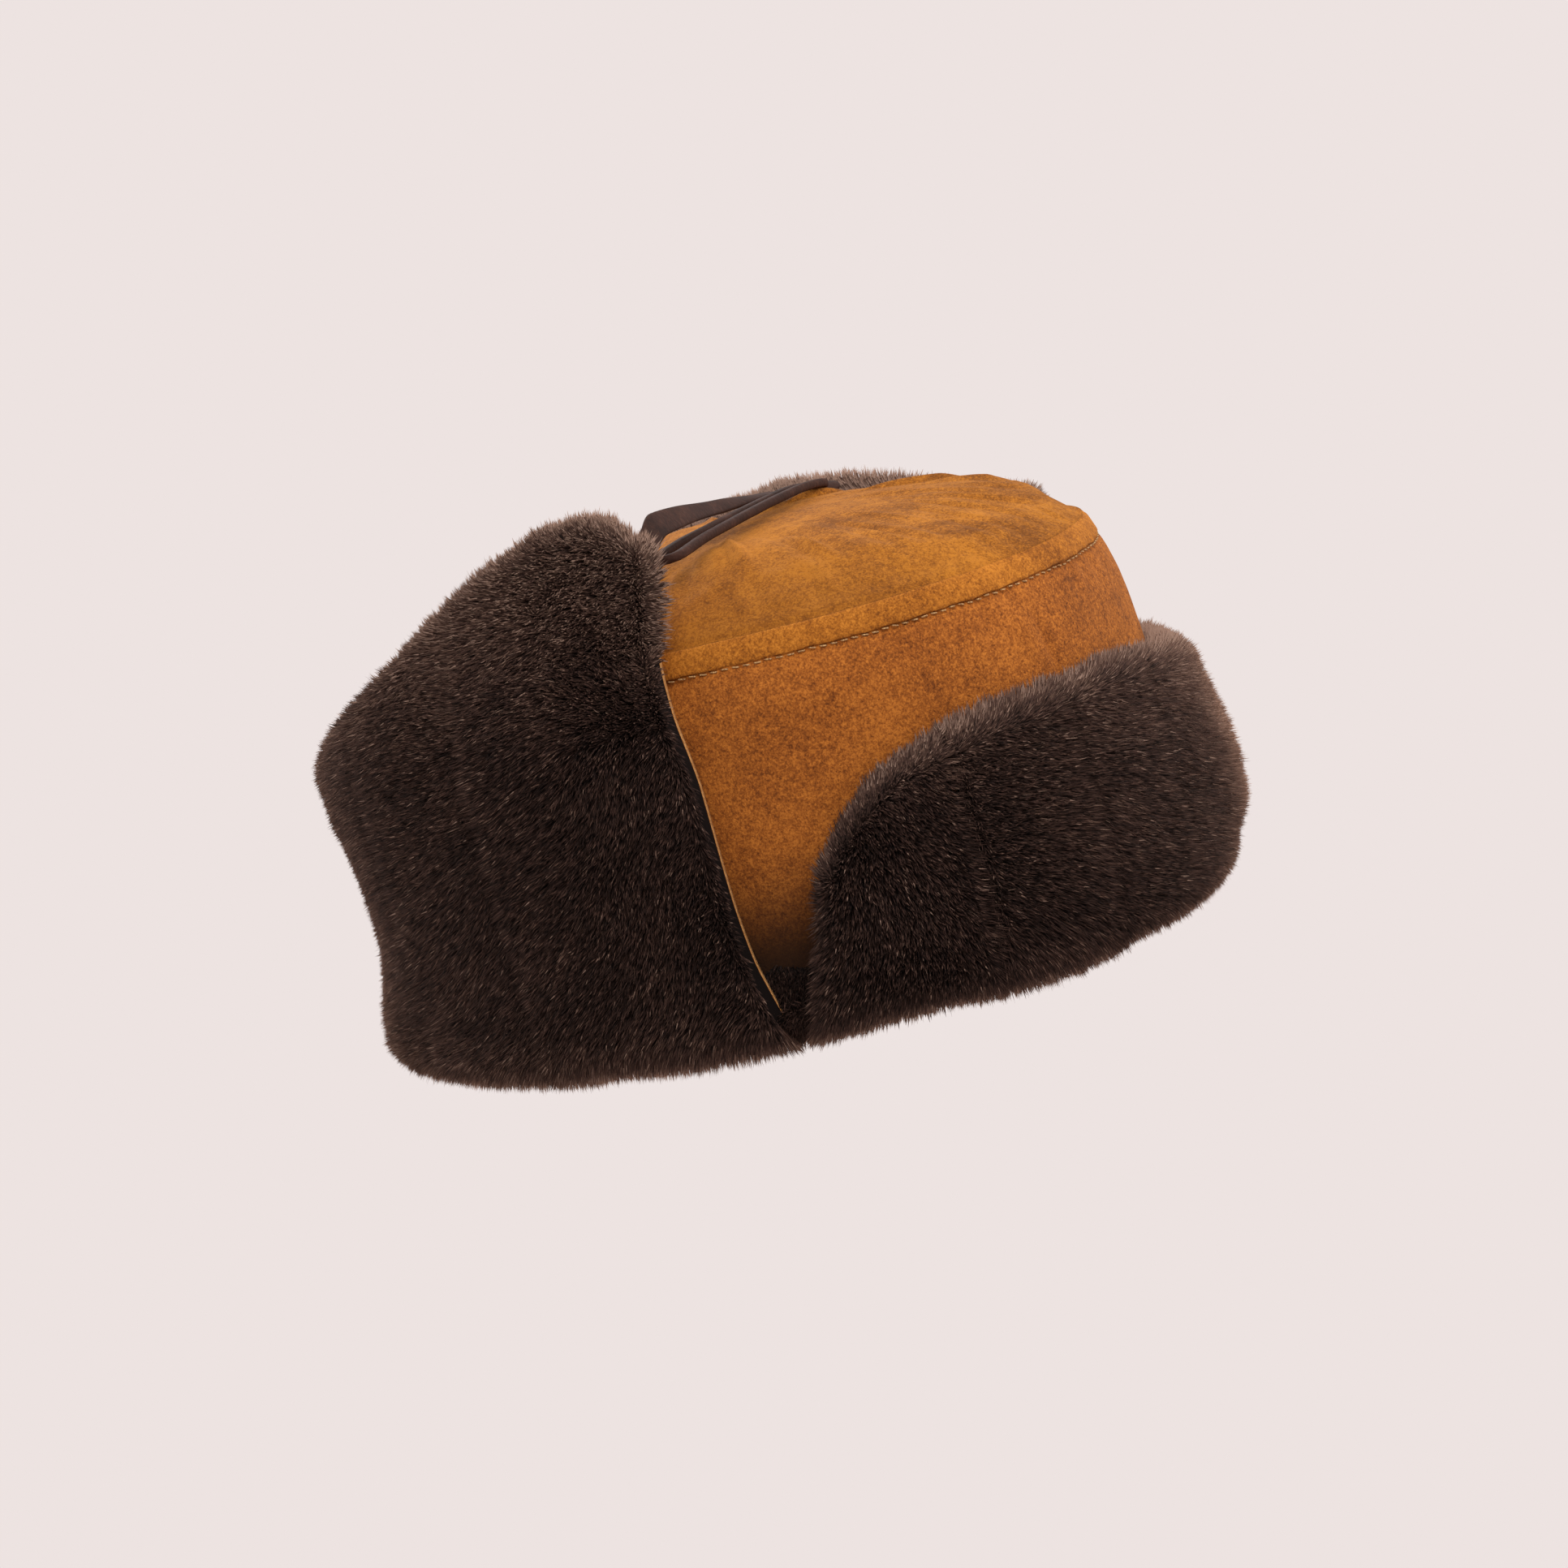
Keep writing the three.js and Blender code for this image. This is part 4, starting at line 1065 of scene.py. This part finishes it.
def flap_tufts(strip):
    """Tufts of one strip as mesh parts, and the normals of their points."""
    spots, total = scatter(strip)
    skin = strip.surface(spots.angle, spots.flat_rise)
    normal, up, across = surface_frame(strip.surface, spots.angle, spots.flat_rise)
    tip_reach = tip_depth(strip.kind, spots.angle, spots.flat_rise)
    pad_depth = 0.5 * tip_reach
    sin_edge, sin_end = np.sin(spots.edge_turn), np.sin(spots.end_turn)
    facing = np.cos(spots.edge_turn) * np.cos(spots.end_turn)
    direction = unit(scaled(normal, facing) + scaled(up, sin_edge) + scaled(across, sin_end))

    def placed(depth, lowest_facing, beyond):
        """Points at a depth off the skin, turned round the rolled edges."""
        return (skin + scaled(normal, depth * np.clip(facing, lowest_facing, 1))
                + scaled(up, sin_edge * (ROLL_EDGE + beyond))
                + scaled(across, sin_end * (ROLL_END + beyond)))

    # roots lie shallow beside a mitre and stay within it
    room = np.full(len(spots.angle), 1e3)
    for mitre, distance in zip(strip.mitres, (spots.flat_across, total - spots.flat_across)):
        if mitre is not None:
            room = np.minimum(room, distance / (2 * math.tan(mitre)))
    root = placed(np.minimum(pad_depth, SKIN + 0.5 + room), 0.0, -0.6)
    from_middle = root - strip.middle
    along, off = from_middle @ strip.along, from_middle @ strip.normal
    held = strip.inside(strip.inside(along, off, 0.4, 0), off, 0.4, 1)
    root = root + scaled(strip.along, held - along)

    # tips lie on an uneven envelope
    reach = tip_reach * (1 + lumps(skin, 81, 0.045, 21.0) + lumps(skin, 82, 0.05, 7.0))
    tip = placed(reach, -0.2, reach - pad_depth)
    past = np.where(spots.end_turn == 0, spots.across - spots.flat_across, 0)
    tip = tip + scaled(across, past)
    # clumps lean to a common point, each with its own nap
    clump_x, clump_y, clump = clump_centres(spots, int(abs(strip.start) * 7) + 3)
    lean = (scaled(across, (clump_x - spots.across) * CLUMP_PULL)
            + scaled(up, (clump_y - spots.rise) * CLUMP_PULL))
    swirl = np.stack([lumps(skin, seed, 2.0, 34) for seed in (71, 72, 73)], -1)
    nap = scaled(up, -1.0 + lumps(skin, 84, 1.2, 26)) + swirl
    nap -= normal * (nap * normal).sum(-1, keepdims=True)
    # multiplying by a large prime gives two more random shares per clump
    clump_nap = (scaled(across, (clump * 7919) % 1 - 0.5) * 1.3
                 + scaled(up, (clump * 104729) % 1 - 0.5) * 1.3)
    tip = tip + lean + nap + clump_nap + RNG.normal(0, 0.5, tip.shape)
    tip += scaled(direction,
                  -np.abs(RNG.normal(0, 0.9, len(tip))) + 0.4 + (clump - 0.5) * 0.7)
    # the lowest tips are pressed up to the trim height
    soft_z = TRIM_Z + 1.6
    z = tip[:, 2]
    tip[:, 2] = np.where(z < soft_z, soft_z - 1.5 * (1 - np.exp((z - soft_z) / 1.6)), z)

    bow = direction * 0.12 * np.linalg.norm(tip - root, axis=1)[:, None]
    radius = RNG.uniform(0.20, 0.33, len(tip)) * 1.0
    phase = RNG.uniform(0, 2 * math.pi, len(tip))
    tone = fur_tone(strip, spots, skin, clump)
    bent = RNG.uniform(0, 1, len(tip)) < 0.42
    parts, normals = [], []
    # the lower faces of bent tufts sit a slot darker: painted shade deep in the pile; plain tufts
    # sit 0.4 darker
    for chosen, rings, faces, tones in (
            (bent, ((0.0, 1.0, 0.0), (0.6, 0.72, 1.0)), BENT_FACES,
             ((1, 1.0, 0, 3), (7, 0.0, 1, 5))),
            (~bent, ((0.0, 1.0, 0.0),), PLAIN_FACES, ((1, 0.4, 1, 5),))):
        part, sides = tuft_part(root[chosen], tip[chosen], phase[chosen], radius[chosen],
                                tone[chosen], rings, faces, tones, bow[chosen])
        form = direction[chosen]
        rows = [unit(form * 0.72 + side * 0.5) for side in sides] + [form]
        parts.append(part)
        normals.append(np.stack(rows, 1).reshape(-1, 3))
    return parts, np.concatenate(normals)


def build_fur(strip):
    pad_points, pad_faces = build_pad(strip)
    parts, tuft_normals = flap_tufts(strip)
    fur = mesh_object(strip.name + "_fur", [(pad_points, [pad_faces], 0), *parts], FUR)
    # the tufts shade as one soft surface: their normals follow the form under them
    normals = np.zeros(len(fur.data.vertices) * 3, np.float32)
    fur.data.vertex_normals.foreach_get("vector", normals)
    normals = normals.reshape(-1, 3)
    normals[len(pad_points):] = tuft_normals
    fur.data.normals_split_custom_set_from_vertices(normals)
    register(fur, strip.name, strip.name + "_pile")


# ---------------------------------------------------------------- linings
# gaps between brow and ear flaps: first and last angle, seeds of the roll and of the wall
FLAP_GAPS = [(66.5, 82.0, 100, 111), (278.0, 294.0, 102, 113)]
LINING_STEP = 1.35
LINING_RADIUS = 0.62
TOP_LINING_DROP = SKIN + 1.6      # below the dome


def rim_roll():
    """Pile that shows as a rolled edge under the rim and where the flaps part."""
    rng = np.random.default_rng(77)
    density = 1.0
    foot = 2.5

    def rolled(count, first, last, dips, width, z):
        """Roots and directions round the rim's roll; dips in degrees from level."""
        angle = rng.uniform(first, last, count)
        dip = np.radians(rng.uniform(*dips, count))
        direction = scaled(outward(angle), np.cos(dip)) + scaled(UP, np.sin(dip))
        return oval(angle, width, z) + direction * 1.5, direction

    parts = []
    # painted shade: the tufts in the gaps between the flaps are toned darker (tone_shift)
    for first, last, roll_seed, wall_seed in FLAP_GAPS:
        root, direction = rolled(int(5000 * density), first, last, (-115, 10), 95.6, 3.4)
        part = simple_tufts(root, direction, 7.6, 0.36, roll_seed, tone_shift=-0.5)
        part[0][:, 2] = np.maximum(part[0][:, 2], -6.4)
        parts.append(part)
        count = int(6500 * density)
        angle = rng.uniform(first, last, count)
        top = 17.5 + lumps(np.stack([angle, 0 * angle, 0 * angle], -1), 66, 2.5, 2.2)
        z = foot + (top - foot) * rng.uniform(0, 1, count) ** 0.9
        share = (z - foot) / (top - foot)
        direction = unit(outward(angle) - scaled(UP, 0.25 + 0.9 * smooth(0, 1, share)))
        parts.append(simple_tufts(oval(angle, curve(BAND, z) - 0.6, z), direction,
                                  7.0 - 3.6 * share, 0.34, wall_seed, tone_shift=-0.9))
    root, direction = rolled(int(15000 * density), 0, 360, (-140, -55), 93.2, 2.0)
    parts.append(simple_tufts(root, direction, 6.2, 0.6, 103))
    for points, _, _ in parts:
        points[:, 2] = np.maximum(points[:, 2], TRIM_Z + 0.4)
    return parts


def build_wall_lining():
    angle = np.linspace(0, 360, 300, endpoint=False)[:, None]
    z = np.array([1.75, 4, 10, 20, 34, 46, 58, 70, 82, 90, 93.5])[None, :]
    back = curve(BAND, z) - SKIN - GAP
    inner = oval(angle, back - 6.8, z)
    inner += scaled(outward(angle), lumps(inner, 64, 0.4, 6))
    pad_points, pad_faces = slab(inner, oval(angle, back, z), closed=True)
    around, height = 560, 91
    columns, rows = int(around / LINING_STEP), int(height / LINING_STEP)
    angle, z = jittered_grid(columns, rows)
    angle = angle / columns * 360
    z = 1.9 + z / rows * height
    root = oval(angle, curve(BAND, z) - SKIN - GAP - 6.4, z)
    # tufts hang a little, and more near the rim
    direction = unit(-outward(angle) - scaled(UP, 0.9 * smooth(10, 0, z) + 0.15))
    points, faces, slots = simple_tufts(root, direction, 6.4, LINING_RADIUS, 7)
    points[:, 2] = np.maximum(points[:, 2], -2.0)
    parts = [(draw_in(pad_points), [pad_faces], 0), (draw_in(points), faces, slots)]
    lining = mesh_object("band_lining_fur", parts + rim_roll(), FUR)
    register(lining, "crown", "side_band_lining")


def build_top_lining():
    ring = np.concatenate([[0.02], np.linspace(0.06, 0.955, 34)])[None, :]
    angle = np.linspace(0, 360, 200, endpoint=False)[:, None]
    upper = dome(angle, ring)
    upper[..., 2] -= TOP_LINING_DROP
    lower = upper.copy()
    lower[..., 2] -= 4.6 + lumps(upper, 65, 0.4, 6)
    pad_points, pad_faces = domed_sheet(upper, lower)
    # one tuft per square step of an 84 by 102 oval
    count = int(math.pi * 84 * 102 / (LINING_STEP * LINING_STEP))
    angle = RNG.uniform(0, 360, count)
    root = dome(angle, np.sqrt(RNG.uniform(0, 1, count)) * 0.945)
    root[:, 2] -= TOP_LINING_DROP + 4.3
    points, faces, slots = simple_tufts(root, np.tile(-UP, (count, 1)), 5.4, LINING_RADIUS, 8)
    lining = mesh_object("top_lining_fur", [(draw_in(pad_points), pad_faces, 0),
                                            (draw_in(points), faces, slots)], FUR)
    register(lining, "crown", "crown_panel_lining")


# ---------------------------------------------------------------- ties (metres)
KNOT_SCALE = np.array([1.38, 1.15, 1.25])   # closes the knot on the strap and the loop
TIE_END_Y = -0.0147                         # centre of the right tie's sewn end


def build_tie(name, body):
    """Leather thong from the CAD piece, with rounded edges."""
    mesh = CAD_NODES[name].data.copy()
    mesh.name = name + "_thong"
    thong = link_object(name + "_thong", mesh)
    points = np.array([vertex.co for vertex in mesh.vertices], float)
    if name == "left_tie_knot":
        centre = (points.min(0) + points.max(0)) / 2
        points = centre + (points - centre) * KNOT_SCALE
    if name == "right_tie":
        # the sewn end narrows to half and sinks into the pile of its flap
        amount = smooth(-0.071, -0.087, points[:, 0])
        points[:, 1] = TIE_END_Y + (points[:, 1] - TIE_END_Y) * (1 - 0.5 * amount)
        points[:, 2] -= 0.0062 * amount
    mesh.vertices.foreach_set("co", points.astype(np.float32).ravel())
    mesh.update()
    mesh.materials.clear()
    mesh.materials.append(LEATHER)
    thong.modifiers.new("weld", "WELD").merge_threshold = 1e-6
    rounding = thong.modifiers.new("round", "SUBSURF")
    rounding.levels = rounding.render_levels = 2
    mesh.polygons.foreach_set("use_smooth", np.ones(len(mesh.polygons), bool))
    register(thong, body, name)


build_band()
build_seam_strip()
build_stitches()
build_top_panel()
for flap_strip in all_strips():
    build_skin(flap_strip)
    build_fur(flap_strip)
build_wall_lining()
build_top_lining()
for tie_name, tie_body in (("right_tie", "right_tie"), ("left_tie", "left_tie"),
                           ("left_tie_loop", "left_tie"), ("left_tie_knot", "left_tie")):
    build_tie(tie_name, tie_body)

# ---------------------------------------------------------------- stage (metres)
BACKDROP = srgb(237, 227, 225)


def build_floor():
    """Pale glowing floor with a painted contact shadow: it darkens only where the hat comes near.
    """
    half, z = 6, FLOOR_Z / 1000 - 0.0002
    mesh = bpy.data.meshes.new("floor")
    mesh.from_pydata([(-half, -half, z), (half, -half, z), (half, half, z), (-half, half, z)],
                     [], [(0, 1, 2, 3)])
    floor = link_object("floor", mesh)
    material = bpy.data.materials.new("floor_pale")
    material.use_nodes = True
    tree = material.node_tree
    tree.nodes.clear()
    # painted shadow: the glow dims with ambient occlusion near the hat
    occlusion = add_node(tree, "ShaderNodeAmbientOcclusion", {"Distance": 0.09}, samples=12)
    strength = add_node(tree, "ShaderNodeMapRange", {
        "Value": occlusion.outputs["AO"], "From Min": 0.25, "From Max": 1.0,
        "To Min": 0.62, "To Max": 1.0})
    glow = add_node(tree, "ShaderNodeEmission", {
        "Color": BACKDROP, "Strength": strength.outputs["Result"]})
    add_node(tree, "ShaderNodeOutputMaterial", {"Surface": glow.outputs[0]})
    mesh.materials.append(material)


def build_world():
    """The camera sees the backdrop colour; the hat is lit by a cooler, dimmer sky."""
    world = bpy.data.worlds.new("studio")
    bpy.context.scene.world = world
    world.use_nodes = True
    tree = world.node_tree
    tree.nodes.clear()
    seen = add_node(tree, "ShaderNodeBackground", {"Color": BACKDROP, "Strength": 1.0})
    sky = add_node(tree, "ShaderNodeBackground", {
        "Color": (0.93, 0.96, 1.0, 1), "Strength": 0.62})
    path = add_node(tree, "ShaderNodeLightPath")
    mix = add_node(tree, "ShaderNodeMixShader", {
        0: path.outputs["Is Camera Ray"], 1: sky.outputs[0], 2: seen.outputs[0]})
    add_node(tree, "ShaderNodeOutputWorld", {"Surface": mix.outputs[0]})


def area_light(name, place, target, size, power, color=(1, 1, 1)):
    light = bpy.data.lights.new(name, "AREA")
    light.shape = "RECTANGLE"
    light.size, light.size_y = size
    light.energy = power
    light.color = color
    lamp = link_object(name, light)
    lamp.location = place
    lamp.rotation_mode = "QUATERNION"
    lamp.rotation_quaternion = (Vector(target) - Vector(place)).to_track_quat("-Z", "Y")


def build_camera():
    """Low on the wearer's right (-X), a little towards the brow, and rolled."""
    azimuth, elevation, roll = (math.radians(angle) for angle in (22.777, 7.985, 14.558))
    distance = 1.1459
    target = np.array([0, 0, 0.078])
    back = np.array([-math.cos(azimuth) * math.cos(elevation),
                     -math.sin(azimuth) * math.cos(elevation), math.sin(elevation)])
    level = unit(np.cross(-back, UP))
    upright = np.cross(level, -back)
    right = level * math.cos(roll) - upright * math.sin(roll)
    up = level * math.sin(roll) + upright * math.cos(roll)
    columns = (right, up, back, target + back * distance)

    lens = bpy.data.cameras.new("camera")
    lens.sensor_width = 36.0
    lens.lens = 87.02310559
    lens.shift_x, lens.shift_y = 0.01886904762, -0.05438923395
    lens.clip_start, lens.clip_end = 0.05, 20
    camera = link_object("camera", lens)
    camera.matrix_world = Matrix(
        [[float(column[i]) for column in columns] for i in range(3)] + [[0, 0, 0, 1]])
    bpy.context.scene.camera = camera


build_floor()
build_world()
area_light("key", place=(-0.75, -0.75, 1.25), target=(0, 0, 0.06), size=(1.0, 0.8), power=14.0,
           color=(1.0, 0.985, 0.96))
area_light("top", place=(0.15, 0.1, 1.3), target=(0, 0, 0.1), size=(1.2, 1.2), power=7.0)
area_light("rim", place=(0.9, 0.9, 0.8), target=(0, 0, 0.1), size=(0.8, 0.8), power=9.0)
area_light("rim_left", place=(-0.35, 1.1, 0.55), target=(0, 0, 0.1), size=(0.7, 0.7), power=5.0)
area_light("rim_right", place=(0.6, -1.1, 0.5), target=(0, 0, 0.08), size=(0.7, 0.7), power=7.0)
build_camera()
bpy.context.scene.view_settings.view_transform = "Standard"
bpy.context.scene.view_settings.look = "None"
